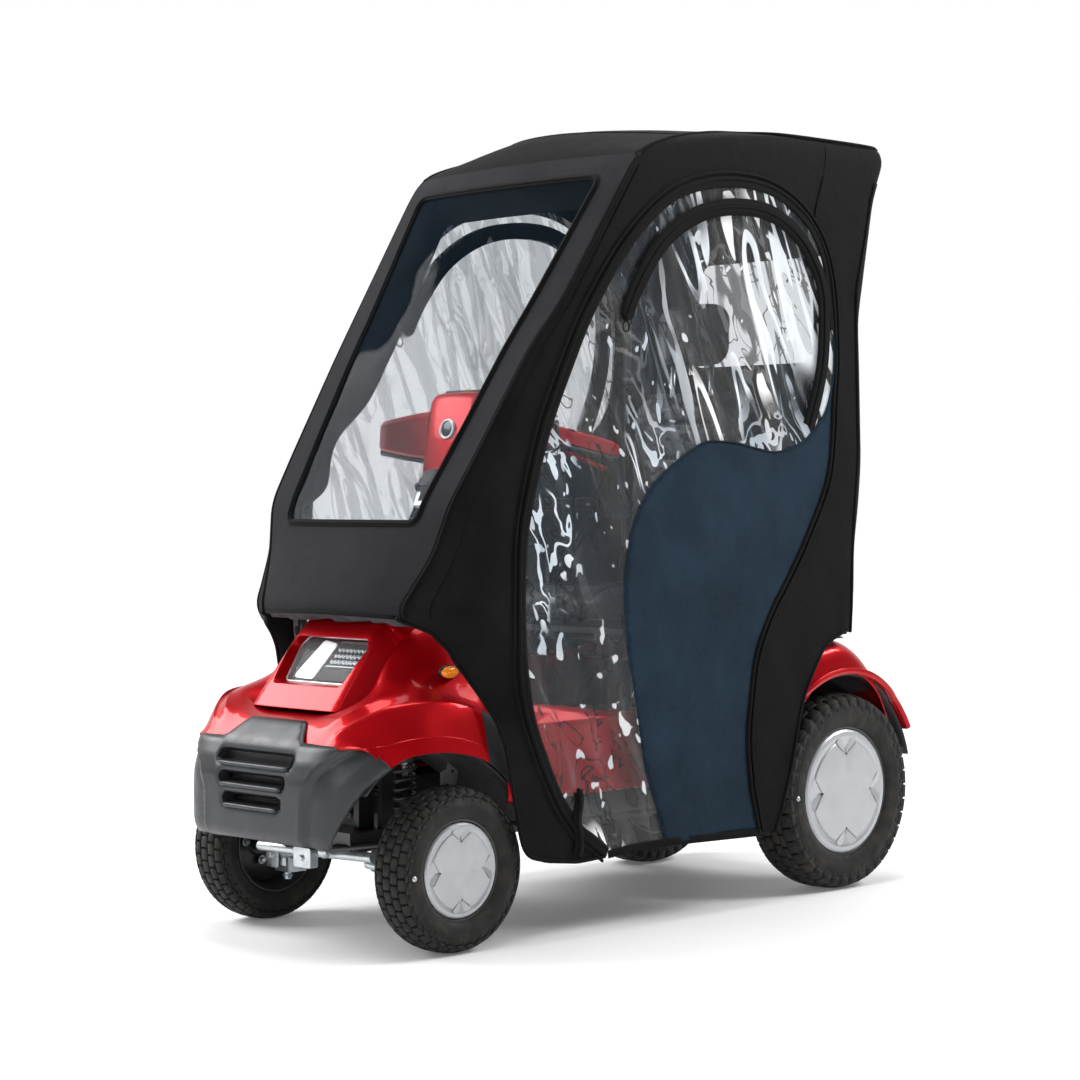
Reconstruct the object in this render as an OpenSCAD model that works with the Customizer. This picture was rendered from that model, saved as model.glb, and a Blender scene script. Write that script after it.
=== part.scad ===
// Four-wheel mobility scooter with a full weather canopy.
// Frame: origin on the ground under the middle of the machine, -Y ahead, +X to the rider's left, +Z up.
// Every piece is drawn about a line 15.5 mm ahead of the middle, and moved to the middle at the end.

/* [Wheels] */
// Distance between the front and rear axles
wheelbase = 1161; // [1159:1:1163]
// Front tyre radius
front_tyre_r = 163; // [162:1:163]
// Rear tyre radius
rear_tyre_r = 221; // [219:1:221]
// Front tyre width
front_tyre_w = 94; // [90:1:94]
// Rear tyre width
rear_tyre_w = 119; // [115:1:119]
// Outer face of each front wheel from the middle
front_wheel_out = 335; // [333:1:336]
// Outer face of each rear wheel from the middle
rear_wheel_out = 349; // [348:1:350]

/* [Steering] */
// Lean of the steering column back from upright, in degrees
column_lean = 25; // [24.5:0.5:25.5]
// Half width of the handlebar at its grips
grip_x = 258; // [250:1:260]

/* [Seat] */
// Height of the cushion's underside
cushion_z = 608; // [608:1:612]
// Cushion thickness
cushion_t = 92; // [80:1:95]
// Width of the cushion
cushion_w = 430; // [410:2:432]

/* [Canopy] */
// Thickness of the fabric panels
fabric_t = 5; // [4:0.5:5]
// Radius of the canopy's frame tubes
hoop_r = 10; // [8:1:10]

/* [Mounts] */
// Bore radius of the rear receiver
receiver_r = 12.75; // [12:0.25:13]
// Radius of the four carrier holes in the rear bumper
carrier_hole_r = 3.3; // [3.2:0.1:3.4]

/* [Hidden] */
$fn = 48;
half_length = 806;
front_y = -545;
rear_y = front_y + wheelbase;
front_z = front_tyre_r;
rear_z = rear_tyre_r;
front_x = front_wheel_out - front_tyre_w/2;
rear_x = rear_wheel_out - rear_tyre_w/2;
run_fit = 0.05;
joint_swell = 0.6;
panel_t = 4;
front_bead_r = 98;
rear_bead_r = 143;
king_x = 215;
king_r = 8;
spindle_r = 10;
arm_pivot_x = 130;
arm_pin_r = 8;
axle_r = 12;
rear_pivot = [0, 415, 250];
back_lean = 3;
back_post_x = 60;
rail_x = 100;
rail_w = 30;
column_foot = [0, -592, 300];
tilt_s = 665;
tilt_y = column_foot[1] + tilt_s*sin(column_lean);
tilt_z = column_foot[2] + tilt_s*cos(column_lean);
dash_at = [0, -214, 1090];
dash_lean = atan(40/52);
lever_y = -180;
lever_z = 985;
throttle_y = -164;
seat_y = 235;
recline_y = seat_y + 200;
recline_z = 645;
seam_x = 284;
seam_w = 0.3;
skin_gap = 0.3;
bar_root_x = 70 + skin_gap;
front_arch_r = 250;
rear_arch_r = 264;
wide = 900;
middle_y = (rear_y + rear_tyre_r - half_length)/2;

// Canopy skin, level by level: height, middle front, corner front, corner half width, side half width, rear
SKIN = [
    [146, -425, -420, 352, 360, 640],
    [430, -462, -457, 340, 358, 640],
    [590, -550, -540, 252, 356, 640],
    [655, -645, -615, 203, 355, 650],
    [774, -592, -555, 250, 353, 655],
    [877, -538, -530, 275, 350, 675],
    [965, -483, -475, 285, 348, 686],
    [1190, -346, -335, 300, 343, 686],
    [1284, -290, -265, 318, 340, 686],
    [1558, -124, -87, 334, 336, 745],
    [1655, -62, -21, 330, 333, 785],
    [1678, -20, 15, 300, 308, 762],
    [1690, 60, 90, 240, 250, 700]
];
// Door outline, seen from the side
DOOR = [
    [-195, 158], [-295, 280], [-370, 450], [-405, 755], [-300, 1080], [-155, 1330], [30, 1510],
    [225, 1590], [420, 1520], [540, 1390], [575, 1260], [545, 1010], [430, 790], [315, 575],
    [265, 340], [305, 158]
];
// Front corner crease of the canopy, seen from the side
CREASE = [
    [-610, 650], [-550, 774], [-525, 877], [-470, 965], [-330, 1190], [-260, 1284], [-82, 1558],
    [-40, 1625]
];

// ---- helpers ----

// An outline of (y, z) points, drawn out along X between two places
module side_shape(outline, x0, x1) {
    translate([x0, 0, 0]) rotate([90, 0, 90]) linear_extrude(x1 - x0) polygon(outline);
}

// An outline of (x, z) points, drawn out along Y between two places
module front_shape(outline, y0, y1) {
    translate([0, y1, 0]) rotate([90, 0, 0]) linear_extrude(y1 - y0) polygon(outline);
}

// An outline of (x, y) points, drawn up between two heights
module plan_shape(outline, z0, z1) {
    translate([0, 0, z0]) linear_extrude(z1 - z0) polygon(outline);
}

// A box between two corners
module block(a, b) {
    translate(a) cube(b - a);
}

// A bar along X, Y or Z
module bar_x(x0, x1, y, z, r) {
    translate([x0, y, z]) rotate([0, 90, 0]) cylinder(h = x1 - x0, r = r);
}
module bar_y(x, y0, y1, z, r) {
    translate([x, y0, z]) rotate([-90, 0, 0]) cylinder(h = y1 - y0, r = r);
}
module bar_z(x, y, z0, z1, r) {
    translate([x, y, z0]) cylinder(h = z1 - z0, r = r);
}

// A round bar from one point to another
module strut(a, b, r) {
    d = b - a;
    translate(a)
        rotate([0, acos(d[2]/norm(d)), atan2(d[1], d[0])])
            cylinder(h = norm(d), r = r);
}

// A bent tube through a list of points
module bent_tube(points, r) {
    for (i = [0:len(points) - 2])
        strut(points[i], points[i + 1], r);
    for (i = [1:len(points) - 2])
        translate(points[i]) sphere(r = r + joint_swell);
}

// A piece and its mirror image across the middle
module both_sides() {
    children();
    mirror([1, 0, 0]) children();
}

// The same list of half-outline points with its mirror image, going right round
function whole(half) = concat(half, [for (i = [len(half) - 1:-1:0]) [-half[i][0], half[i][1]]]);

// Unit normal to the left of an edge
function left_of(a, b) = [a[1] - b[1], b[0] - a[0]]/norm(b - a);

// An outline moved inward by t (its points run anticlockwise)
function inset(p, t) = [
    for (i = [0:len(p) - 1])
        let (a = p[(i + len(p) - 1) % len(p)], b = p[i], c = p[(i + 1) % len(p)])
        let (n = left_of(a, b), m = left_of(b, c))
        b + (n + m)*t/(1 + n*m)
];

// A rounded rectangle in plan, w by d, its corners of radius r
module round_slab(w, d, r, h) {
    linear_extrude(h) {
        square([w - 2*r, d], center = true);
        square([w, d - 2*r], center = true);
        for (x = [-1, 1], y = [-1, 1])
            translate([x*(w/2 - r), y*(d/2 - r)]) circle(r = r);
    }
}

// ---- chassis ----

module rail() {
    side_shape([
        [-650, 185], [405, 185], [490, 330], [760, 330], [760, 370], [468, 370], [385, 225],
        [-650, 225]
    ], rail_x - rail_w/2, rail_x + rail_w/2);
}

module arm_ears() {
    for (y = [front_y - 50, front_y + 40])
        block([rail_x + rail_w/2 - 1, y, 145], [arm_pivot_x + 14, y + 10, 190]);
    bar_y(arm_pivot_x, front_y - 50, front_y + 50, front_z, arm_pin_r);
}

// Upright and top plate that carry one front shock absorber
module front_tower() {
    block([100, front_y - 20, 224], [112, front_y + 20, 410]);
    block([100, front_y - 20, 402], [190, front_y + 20, 410]);
}

module rear_tower() {
    block([106, rear_y - 40, 369], [116, rear_y, 470]);
    block([106, rear_y - 40, 470], [182, rear_y, 478]);
}

// Plates that hold the steering column's tube
module column_bracket() {
    both_sides() block([67, -600, 224], [83, -560, 412]);
    difference() {
        block([-83, -588, 380], [83, -508, 412]);
        column_frame() cylinder(h = 400, r = 24 + run_fit);
    }
}

module receiver() {
    difference() {
        union() {
            block([-90, 720, 330], [90, 760, 370]);
            bar_y(0, 740, 796, 350, 20);
        }
        bar_y(0, 700, 800, 350, receiver_r);
    }
}

module chassis_frame() {
    color("dimgray") {
        both_sides() rail();
        both_sides() arm_ears();
        both_sides() front_tower();
        both_sides() rear_tower();
        both_sides() bar_x(110, 176, rear_pivot[1], rear_pivot[2], 8);
        block([-90, -650, 185], [90, -560, 225]);
        block([-90, -120, 190], [90, -90, 220]);
        block([-90, 205, 190], [90, 265, 222]);
        block([-90, 500, 335], [90, 530, 365]);
        column_bracket();
        receiver();
    }
}

// Floor outline: narrow ahead, where the steered wheels swing in
FLOOR = [
    [-300, -345], [-135, -345], [-135, -400], [135, -400], [135, -345], [300, -345],
    [300, 170], [262, 196], [-262, 196], [-300, 170]
];

module floor_tray() {
    color("black")
        difference() {
            plan_shape(FLOOR, 226, 262);
            plan_shape(inset(FLOOR, panel_t), 222, 258);
        }
}

module floor_mat() {
    color([0.12, 0.12, 0.12])
        plan_shape(inset(FLOOR, 18), 262, 268);
}

module side_skirts() {
    outline = [[-415, 285], [185, 285], [188, 455], [60, 440], [-60, 438], [-330, 470], [-415, 470]];
    color("crimson")
        both_sides()
            difference() {
                side_shape(outline, 301, 322);
                side_shape(inset(outline, panel_t), 300, 318);
            }
}

// ---- wheels ----

// Tyre on the Z axis: outer radius, bead radius, width
module tyre(r, bead, w) {
    h = w/2;
    rotate_extrude($fn = 96)
        polygon([
            [bead, -h + 8], [bead + 12, -h + 2], [r - 34, -h], [r - 14, -h + 3], [r - 4, -h + 13],
            [r, -h + 26], [r, h - 26], [r - 4, h - 13], [r - 14, h - 3], [r - 34, h],
            [bead + 12, h - 2], [bead, h - 8]
        ]);
}

// Rim on the Z axis, hub cap at the top: bead radius, width, bore radius and depth
module rim(bead, w, bore, depth) {
    h = w/2;
    difference() {
        union() {
            difference() {
                cylinder(h = w - 16, r = bead, center = true, $fn = 96);
                cylinder(h = w, r = bead - 8, center = true, $fn = 96);
            }
            translate([0, 0, h - 22]) cylinder(h = 8, r = bead - 7);
            translate([0, 0, h - 14]) cylinder(h = 6, r = bead - 10);
            translate([0, 0, h - 8.5]) cylinder(h = 8.5, r = bead*0.62);
            translate([0, 0, -h + 12]) cylinder(h = w - 34, r = 27);
        }
        translate([0, 0, -h - 1]) cylinder(h = depth + 1, r = bore);
    }
}

module front_tyre(side) {
    color([0.1, 0.1, 0.1])
        translate([side*front_x, front_y, front_z])
            rotate([0, side*90, 0]) tyre(front_tyre_r, front_bead_r, front_tyre_w);
}

module front_rim(side) {
    color("silver")
        translate([side*front_x, front_y, front_z])
            rotate([0, side*90, 0]) rim(front_bead_r, front_tyre_w, spindle_r + run_fit, 70);
}

module rear_tyre(side) {
    color([0.1, 0.1, 0.1])
        translate([side*rear_x, rear_y, rear_z])
            rotate([0, side*90, 0]) tyre(rear_tyre_r, rear_bead_r, rear_tyre_w);
}

// The rear rim is keyed to its half shaft, so the shaft turns with it
module rear_rim(side) {
    color("silver") {
        translate([side*rear_x, rear_y, rear_z])
            rotate([0, side*90, 0]) rim(rear_bead_r, rear_tyre_w, axle_r, 80);
        if (side > 0)
            bar_x(75, rear_x + 18, rear_y, rear_z, axle_r);
        else
            bar_x(-rear_x - 18, -75, rear_y, rear_z, axle_r);
    }
}

// ---- front suspension and steering ----

module front_arm(side) {
    lug = king_x + 16;
    color("lightsteelblue")
        scale([side, 1, 1]) {
            difference() {
                bar_y(arm_pivot_x, front_y - 39.5, front_y + 39.5, front_z, 16);
                bar_y(arm_pivot_x, front_y - 42, front_y + 42, front_z, arm_pin_r + run_fit);
            }
            for (z = [142, 170])
                difference() {
                    block([arm_pivot_x, front_y - 26, z], [190, front_y + 26, z + 14]);
                    bar_y(arm_pivot_x, front_y - 42, front_y + 42, front_z, 15);
                }
            block([182, front_y - 24, 108], [190, front_y + 24, 218]);
            block([189, front_y - 20, 108], [lug, front_y + 20, 118]);
            block([189, front_y - 20, 208], [lug, front_y + 20, 218]);
            bar_z(king_x, front_y, 100, 226, king_r);
        }
}

module knuckle(side) {
    color("silver")
        scale([side, 1, 1])
            difference() {
                union() {
                    bar_z(king_x, front_y, 118.4, 207.6, 15);
                    bar_x(king_x + 10, front_x + 18, front_y, front_z, spindle_r);
                    block([king_x - 9, front_y, 148], [king_x + 9, front_y + 66, 157]);
                }
                bar_z(king_x, front_y, 100, 226, king_r + run_fit);
                bar_z(king_x, front_y + 58, 140, 160, 5);
            }
}

module track_rod() {
    rod_y = front_y + 58;
    color("silver") {
        bar_x(-king_x, king_x, rod_y, 173, 6);
        for (x = [-1, 1])
            bar_z(x*king_x, rod_y, 164, 180, 9);
    }
}

// Coil-over unit standing on its lower end: length and radius
module shock(length, r) {
    cylinder(h = length, r = 7);
    translate([0, 0, 6]) cylinder(h = 8, r = r);
    translate([0, 0, length - 14]) cylinder(h = 8, r = r);
    cylinder(h = length*0.55, r = r*0.55);
    for (i = [1:6])
        translate([0, 0, 14 + i*(length - 34)/7])
            rotate_extrude() translate([r - 4, 0]) circle(r = 3.5, $fn = 16);
    cylinder(h = length - 14, r = r - 6);
}

module front_shocks() {
    color("silver")
        both_sides() translate([160, front_y, 224]) shock(178, 24);
}

module rear_shocks() {
    color("silver")
        both_sides() translate([155, rear_y - 20, 300]) shock(170, 27);
}

module column_frame() {
    translate(column_foot) rotate([-column_lean, 0, 0]) children();
}

module column_tube() {
    color("dimgray")
        difference() {
            column_frame() cylinder(h = 390, r = 24);
            column_frame() translate([0, 0, -1]) cylinder(h = 400, r = 14 + run_fit);
        }
}

module steering_shaft() {
    color("gray")
        column_frame() {
            translate([0, 0, -44]) cylinder(h = 680, r = 14);
            translate([0, 0, 392]) cylinder(h = 30, r = 26);
            translate([-12, -10, -44]) cube([24, 62, 10]);
            for (x = [-1, 1])
                translate([x*34 - 5, -18, 628]) cube([10, 36, 56]);
            translate([-39, -18, 622]) cube([78, 36, 10]);
            translate([-39, 0, tilt_s]) rotate([0, 90, 0]) cylinder(h = 78, r = 7);
        }
}

// ---- tiller ----

module tiller_head() {
    wing = [
        [0, -272], [70, -272], [160, -274], [238, -268], [262, -245], [266, -222], [257, -218],
        [250, -236], [230, -246], [150, -248], [70, -246], [0, -246]
    ];
    color("crimson") {
        difference() {
            side_shape([
                [-297, 925], [-268, 1098], [-240, 1110], [-188, 1070], [-180, 1000], [-202, 994],
                [-202, 968], [-236, 925]
            ], -70, 70);
            side_shape([
                [-300, 900], [-288, 968], [-222, 968], [-222, 900]
            ], -41, 41);
        }
        both_sides()
            difference() {
                plan_shape(wing, 996, 1046);
                block([-1, -300, 990], [69, -200, 1050]);
            }
        difference() {
            block([-28, tilt_y - 14, tilt_z - 16], [28, tilt_y + 14, 968.5]);
            bar_x(-29, 29, tilt_y, tilt_z, 7 + run_fit);
        }
        block([-10, -212, 961], [10, throttle_y + 9, 969]);
        bar_z(0, throttle_y, 968, 998, 4);
    }
}

module handlebar() {
    color([0.15, 0.15, 0.15]) {
        both_sides() {
            bent_tube([
                [bar_root_x, -234, 1020], [214, -230, 1020], [250, -204, 1016], [grip_x, -90, 992]
            ], 10);
            strut([grip_x - 5.6, -170, 1008.8], [grip_x + 1.4, -70, 987.8], 17);
        }
        for (x = [grip_x - 19, grip_x + 1])
            block([x, lever_y - 6, lever_z - 6], [x + 5, lever_y + 6, 1010]);
        bar_x(grip_x - 19, grip_x + 6, lever_y, lever_z, 3);
    }
}

module dash_frame() {
    translate(dash_at) rotate([-dash_lean, 0, 0]) children();
}

module dash_panel() {
    color([0.2, 0.2, 0.2])
        dash_frame()
            difference() {
                translate([0, 0, skin_gap]) round_slab(134, 58, 12, 7);
                translate([-42, 0, 0]) cylinder(h = 20, r = 3 + run_fit);
                translate([42, 0, 0]) cylinder(h = 20, r = 3 + run_fit);
                translate([0, -16, 0]) cylinder(h = 20, r = 3 + run_fit);
            }
}

module speed_dial() {
    color("black")
        dash_frame() translate([-42, 0, 2]) {
            cylinder(h = 8, r = 3);
            translate([0, 0, 6]) cylinder(h = 12, r = 15);
            translate([-1.5, -14, 17]) cube([3, 16, 3]);
        }
}

module key() {
    color("silver")
        dash_frame() translate([42, 0, 2]) {
            cylinder(h = 14, r = 3);
            translate([-11, -1.5, 12]) cube([22, 3, 20]);
        }
}

module horn_button() {
    color("gold")
        dash_frame() translate([0, -16, 2]) {
            cylinder(h = 9, r = 3);
            translate([0, 0, 8]) cylinder(h = 5, r = 9);
        }
}

module throttle_lever() {
    wing = [
        [0, -157], [40, -158], [110, -172], [168, -196], [160, -206], [104, -184], [36, -171],
        [0, -171]
    ];
    color("black")
        difference() {
            union() {
                bar_z(0, throttle_y, 970, 996, 8);
                plan_shape(whole(wing), 978, 987);
            }
            bar_z(0, throttle_y, 960, 1000, 4 + run_fit);
        }
}

module brake_lever() {
    color("firebrick") {
        difference() {
            union() {
                bar_x(grip_x - 13, grip_x, lever_y, lever_z, 7);
                strut([grip_x - 6, lever_y, lever_z], [grip_x - 2, -75, 946], 5);
            }
            bar_x(grip_x - 20, grip_x + 8, lever_y, lever_z, 3 + run_fit);
        }
        translate([grip_x - 2, -75, 946]) sphere(r = 7);
    }
}

// ---- body ----

// Cylinders that clear the wheels through their whole travel
module front_arch(r) {
    both_sides() bar_x(152, 420, front_y, front_z, r);
}
module rear_arch(r) {
    both_sides() bar_x(214, 420, rear_y, rear_z, r);
}

BUMPER_PLAN = [
    [200, -804], [255, -774], [306, -722], [329, -672], [330, -560], [330, -430]
];

module front_bumper() {
    slot = [[-128, 0], [118, 0], [112, 20], [-122, 20]];
    color([0.3, 0.3, 0.31])
        difference() {
            plan_shape(concat([[0, -half_length]], BUMPER_PLAN, [[-330, -430], [-330, -560]],
                [for (i = [3:-1:0]) [-BUMPER_PLAN[i][0], BUMPER_PLAN[i][1]]]), 213, 446);
            plan_shape(inset(concat([[0, -half_length]], BUMPER_PLAN, [[-330, -430], [-330, -560]],
                [for (i = [3:-1:0]) [-BUMPER_PLAN[i][0], BUMPER_PLAN[i][1]]]), 5), 208, 450);
            block([-wide, -660, 200], [wide, -400, 500]);
            side_shape([[-900, 390], [-700, 390], [-600, 360], [-600, 500], [-900, 500]], 170, 400);
            side_shape([[-900, 390], [-700, 390], [-600, 360], [-600, 500], [-900, 500]], -400, -170);
            front_arch(front_arch_r);
            for (i = [0:2])
                front_shape([for (p = slot) [p[0]*(0.84 + 0.08*i), p[1] + 276 + 36*i]], -850, -780);
        }
}

// Solid shape of the front body, drawn t smaller than its outside
module front_body_solid(t) {
    intersection() {
        union() {
            intersection() {
                side_shape(inset([
                    [-790, 446.5], [-790, 230], [-345, 230], [-395, 640], [-430, 662], [-560, 655],
                    [-600, 634], [-674, 484], [-778, 452]
                ], t), -wide, wide);
                plan_shape(inset(whole([
                    [150, -790], [150, -600], [262, -500], [270, -420], [262, -300]
                ]), t), 200, 700);
                front_shape(inset([
                    [-275, 200], [275, 200], [275, 540], [205, 620], [120, 662], [-120, 662],
                    [-205, 620], [-275, 540]
                ], t), -wide, 0);
            }
            side_shape(inset([
                [-800, 390.5], [-800, 230], [-470, 230], [-470, 445], [-500, 478], [-540, 492],
                [-620, 496], [-700, 470], [-776, 420]
            ], t), -329 + t, 329 - t);
        }
        plan_shape(inset(whole([
            [190, -786], [250, -752], [300, -706], [324, -660], [329, -560], [329, -425],
            [300, -345]
        ]), t), 200, 700);
    }
}

module front_body_shell() {
    color("crimson")
        difference() {
            front_body_solid(0);
            front_body_solid(panel_t);
            front_arch(front_arch_r);
            block([-wide, -900, 190], [wide, -657, 391]);
            block([-170.5, -900, 390], [170.5, -657, 446.5]);
            block([-wide, -660, 190], [wide, -300, 268.5]);
            block([-102, -700, 516], [102, -560, 600]);
            column_frame() translate([0, 0, 300]) cylinder(h = 200, r = 30);
        }
}

module headlamp_unit() {
    color([0.85, 0.87, 0.9]) {
        side_shape([[-640, 520], [-606, 590], [-590, 590], [-590, 520]], -98, 98);
        side_shape([[-648, 520], [-610, 596], [-606, 592], [-641, 520]], -78, -38);
        side_shape([[-648, 520], [-614, 590], [-608, 590], [-641, 520]], 20, 70);
    }
}

module headlamp_lens() {
    color("white", 0.4)
        side_shape([[-654, 517], [-614, 599.5], [-611, 599.5], [-651, 517]], -101.5, 101.5);
}

module indicators() {
    color("orange")
        both_sides()
            translate([268.5, -462, 538]) rotate([0, 90, 0]) cylinder(h = 15, r = 15);
}

// Solid shape of the rear body, drawn t smaller than its outside
module rear_body_solid(t) {
    intersection() {
        side_shape(inset([
            [200, 230], [790, 230], [799, 330], [785, 410], [735, 490], [660, 556], [600, 566],
            [510, 560], [430, 536], [200, 532]
        ], t), -wide, wide);
        plan_shape(inset([
            [-292, 200], [292, 200], [302, 370], [343, 450], [343, 720], [318, 790], [250, 799],
            [-250, 799], [-318, 790], [-343, 720], [-343, 450], [-302, 370]
        ], t), 200, 700);
    }
}

module rear_body_shell() {
    color("crimson")
        difference() {
            rear_body_solid(0);
            rear_body_solid(panel_t);
            rear_arch(rear_arch_r);
            both_sides() block([seam_x, 100, 190], [seam_x + seam_w, 900, 700]);
            block([-wide, 100, 190], [wide, 900, 236]);
            bar_z(0, seat_y, 500, 600, 34);
            bar_y(0, 760, 900, 350, 26);
        }
}

module rear_bumper() {
    color([0.2, 0.2, 0.2])
        difference() {
            block([-170, 799.4, 280], [170, half_length, 400]);
            bar_y(0, 760, 900, 350, 26);
            for (x = [-60, 60], z = [302, 388])
                bar_y(x, 780, 820, z, carrier_hole_r);
        }
}

module tail_lamps() {
    color("red")
        both_sides() side_shape([[787, 412], [799, 414], [768, 462], [757, 460]], 190, 292);
}

module batteries() {
    color([0.25, 0.25, 0.28])
        both_sides() {
            block([40, 206, 240], [205, 380, 400]);
            bar_z(70, 230, 400, 408, 8);
            bar_z(175, 230, 400, 408, 8);
        }
}

module controller() {
    color("dimgray") {
        block([-70, 545, 371], [70, 700, 410]);
        for (x = [-60:20:60])
            block([x - 3, 550, 410], [x + 3, 695, 422]);
    }
}

// ---- drive ----

// Trailing arm that carries the drive unit on its pivot
module drive_arm() {
    difference() {
        union() {
            bar_x(140, 170, rear_pivot[1], rear_pivot[2], 16);
            side_shape([[rear_pivot[1], 236], [rear_y - 20, 206], [rear_y - 20, 236], [rear_pivot[1], 264]],
                140, 170);
        }
        bar_x(110, 180, rear_pivot[1], rear_pivot[2], 8 + run_fit);
    }
    block([142, rear_y - 40, 230], [172, rear_y, 284]);
}

module transaxle() {
    color("slategray")
        difference() {
            union() {
                bar_x(-196, 196, rear_y, rear_z, 30);
                bar_x(-40, 40, rear_y, rear_z, 75);
                both_sides() drive_arm();
            }
            bar_x(-200, 200, rear_y, rear_z, axle_r + run_fit);
        }
}

module motor() {
    color([0.2, 0.2, 0.2]) {
        bar_y(0, 452, rear_y - 76, rear_z, 48);
        bar_y(0, 430, 452, rear_z, 40);
        block([44, 462, 214], [66, 468, 228]);
        bar_y(60, 436, 466, rear_z, 3);
    }
}

module freewheel_lever() {
    color("gold")
        difference() {
            union() {
                bar_y(60, 438, 450, rear_z, 6);
                strut([60, 444, rear_z], [60, 444, rear_z + 62], 5);
                translate([60, 444, rear_z + 62]) sphere(r = 7);
            }
            bar_y(60, 430, 460, rear_z, 3 + run_fit);
        }
}

// ---- seat ----

module seat_post() {
    color("dimgray")
        difference() {
            union() {
                bar_z(0, seat_y, 222.2, 560, 27);
                bar_z(0, seat_y, 222.2, 230, 38);
            }
            bar_z(0, seat_y, 230, 570, 22 + run_fit);
        }
}

module seat_swivel() {
    color("gray") {
        bar_z(0, seat_y, 440, 572, 22);
        bar_z(0, seat_y, 561, 568, 40);
        block([-90, seat_y - 95, 568], [90, seat_y + 95, 574]);
        both_sides() block([74, seat_y - 150, 574], [90, seat_y + 150, 586]);
        strut([-85, seat_y - 60, 571], [-190, seat_y - 70, 571], 5);
    }
}

module seat_pan() {
    color([0.2, 0.2, 0.2]) {
        block([-190, seat_y - 190, 592], [190, seat_y + 185, 604]);
        both_sides()
            difference() {
                block([68, seat_y - 150, 576], [96, seat_y + 150, 592.5]);
                block([73.6, seat_y - 151, 570], [90.4, seat_y + 151, 586.5]);
            }
        both_sides()
            difference() {
                union() {
                    block([198, recline_y - 45, 592], [206, recline_y + 18, recline_z + 18]);
                    block([188, recline_y - 45, 592], [206, recline_y - 20, 604]);
                }
                bar_x(190, 210, recline_y, recline_z, 6 + run_fit);
            }
    }
}

module seat_cushion() {
    color([0.22, 0.25, 0.3])
        translate([0, seat_y - 29, cushion_z])
            difference() {
                round_slab(cushion_w, 410, 70, cushion_t);
                for (x = [-1, 1])
                    translate([x*205, 205, 20]) cube([40, 80, 180], center = true);
            }
}

// Things fixed to the reclining back, drawn about its hinge with the back upright
module back_frame() {
    translate([0, recline_y, recline_z]) rotate([-back_lean, 0, 0]) children();
}

module backrest() {
    color([0.22, 0.25, 0.3])
        back_frame() {
            difference() {
                translate([0, 15, 75]) linear_extrude(420) {
                    square([310, 76], center = true);
                    for (x = [-1, 1])
                        translate([x*155, 0]) circle(r = 38);
                }
                both_sides() bar_z(back_post_x, 15, 405, 500, 6 + run_fit);
            }
            both_sides() block([186, -6, -16], [196, 22, 90]);
            both_sides() bar_x(195, 207, 0, 0, 6);
            both_sides() block([186, -62, 190], [196, 20, 230]);
            both_sides() bar_x(195, 238, -40, 208, 8);
        }
}

module headrest() {
    color([0.22, 0.25, 0.3])
        back_frame() {
            translate([0, 15, 530]) round_slab(236, 72, 32, 168);
            both_sides() bar_z(back_post_x, 15, 415, 532, 6);
        }
}

module armrest(side) {
    color([0.15, 0.15, 0.15])
        scale([side, 1, 1])
            back_frame() translate([0, -40, 208])
                difference() {
                    union() {
                        bar_x(216, 244, 0, 0, 16);
                        rotate([back_lean, 0, 0]) block([214, -240, 0], [254, 0, 30]);
                    }
                    bar_x(210, 240, 0, 0, 8 + run_fit);
                }
}

// ---- canopy ----

// One level of the canopy skin, t smaller than its outside
function skin_ring(s, t) =
    let (z = s[0], yc = s[1] + 1.25*t, yf = s[2] + 1.25*t, wf = s[3] - t, ws = s[4] - t, yr = s[5] - t)
    let (half = [
        [0, yc], [wf*0.55, yc + (yf - yc)*0.25], [wf, yf], [wf + (ws - wf)*0.6, yf + 55],
        [ws, yf + 150], [ws, yr - 80], [ws - 14, yr - 26], [ws - 52, yr], [0, yr + 8]
    ])
    [for (p = concat(half, [for (i = [7:-1:1]) [-half[i][0], half[i][1]]])) [p[0], p[1], z]];

// The whole volume inside the canopy skin
module skin_solid(t, drop) {
    rings = [for (s = SKIN) skin_ring(s, t)];
    n = len(rings[0]);
    last = len(rings) - 1;
    points = [
        for (k = [0:last], p = rings[k])
            [p[0], p[1], k == 0 ? p[2] - drop : (k > 9 ? p[2] - t : p[2])]
    ];
    faces = concat(
        [[for (i = [0:n - 1]) i]],
        [[for (i = [n - 1:-1:0]) last*n + i]],
        [for (k = [0:last - 1], i = [0:n - 1]) [k*n + i, (k + 1)*n + i, (k + 1)*n + (i + 1) % n]],
        [for (k = [0:last - 1], i = [0:n - 1]) [k*n + i, (k + 1)*n + (i + 1) % n, k*n + (i + 1) % n]]
    );
    polyhedron(points, faces, convexity = 6);
}

// The part of the canopy skin that lies inside the child shape
module skin_part() {
    difference() {
        intersection() {
            skin_solid(0, 0);
            children();
        }
        skin_solid(fabric_t, 20);
    }
}

WINDSCREEN = [
    [-212, 862], [-190, 838], [190, 838], [212, 862],
    [280, 1540], [266, 1552], [-266, 1552], [-280, 1540]
];
REAR_WINDOW = [[-200, 1180], [200, 1180], [200, 1460], [-200, 1460]];
roof_z = 1625;

module front_zone() {
    side_shape(concat([[-900, 650]], CREASE, [[-900, roof_z]]), -wide, wide);
}

// Behind this line the skin is the rear panel
REAR_LINE = [[620, 581], [620, 832], [652, 991], [652, 1218], [650, 1353], [712, 1558], [742, roof_z]];

module rear_zone() {
    side_shape(concat([[1000, roof_z], [1000, 575], [620, 575]], REAR_LINE), -wide, wide);
}

module canopy_front() {
    color([0.16, 0.16, 0.17])
        difference() {
            skin_part() front_zone();
            front_shape(WINDSCREEN, -wide, 300);
        }
}

module windscreen() {
    color([0.6, 0.65, 0.7], 0.4)
        skin_part()
            intersection() {
                front_zone();
                front_shape(WINDSCREEN, -wide, 300);
            }
}

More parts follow.
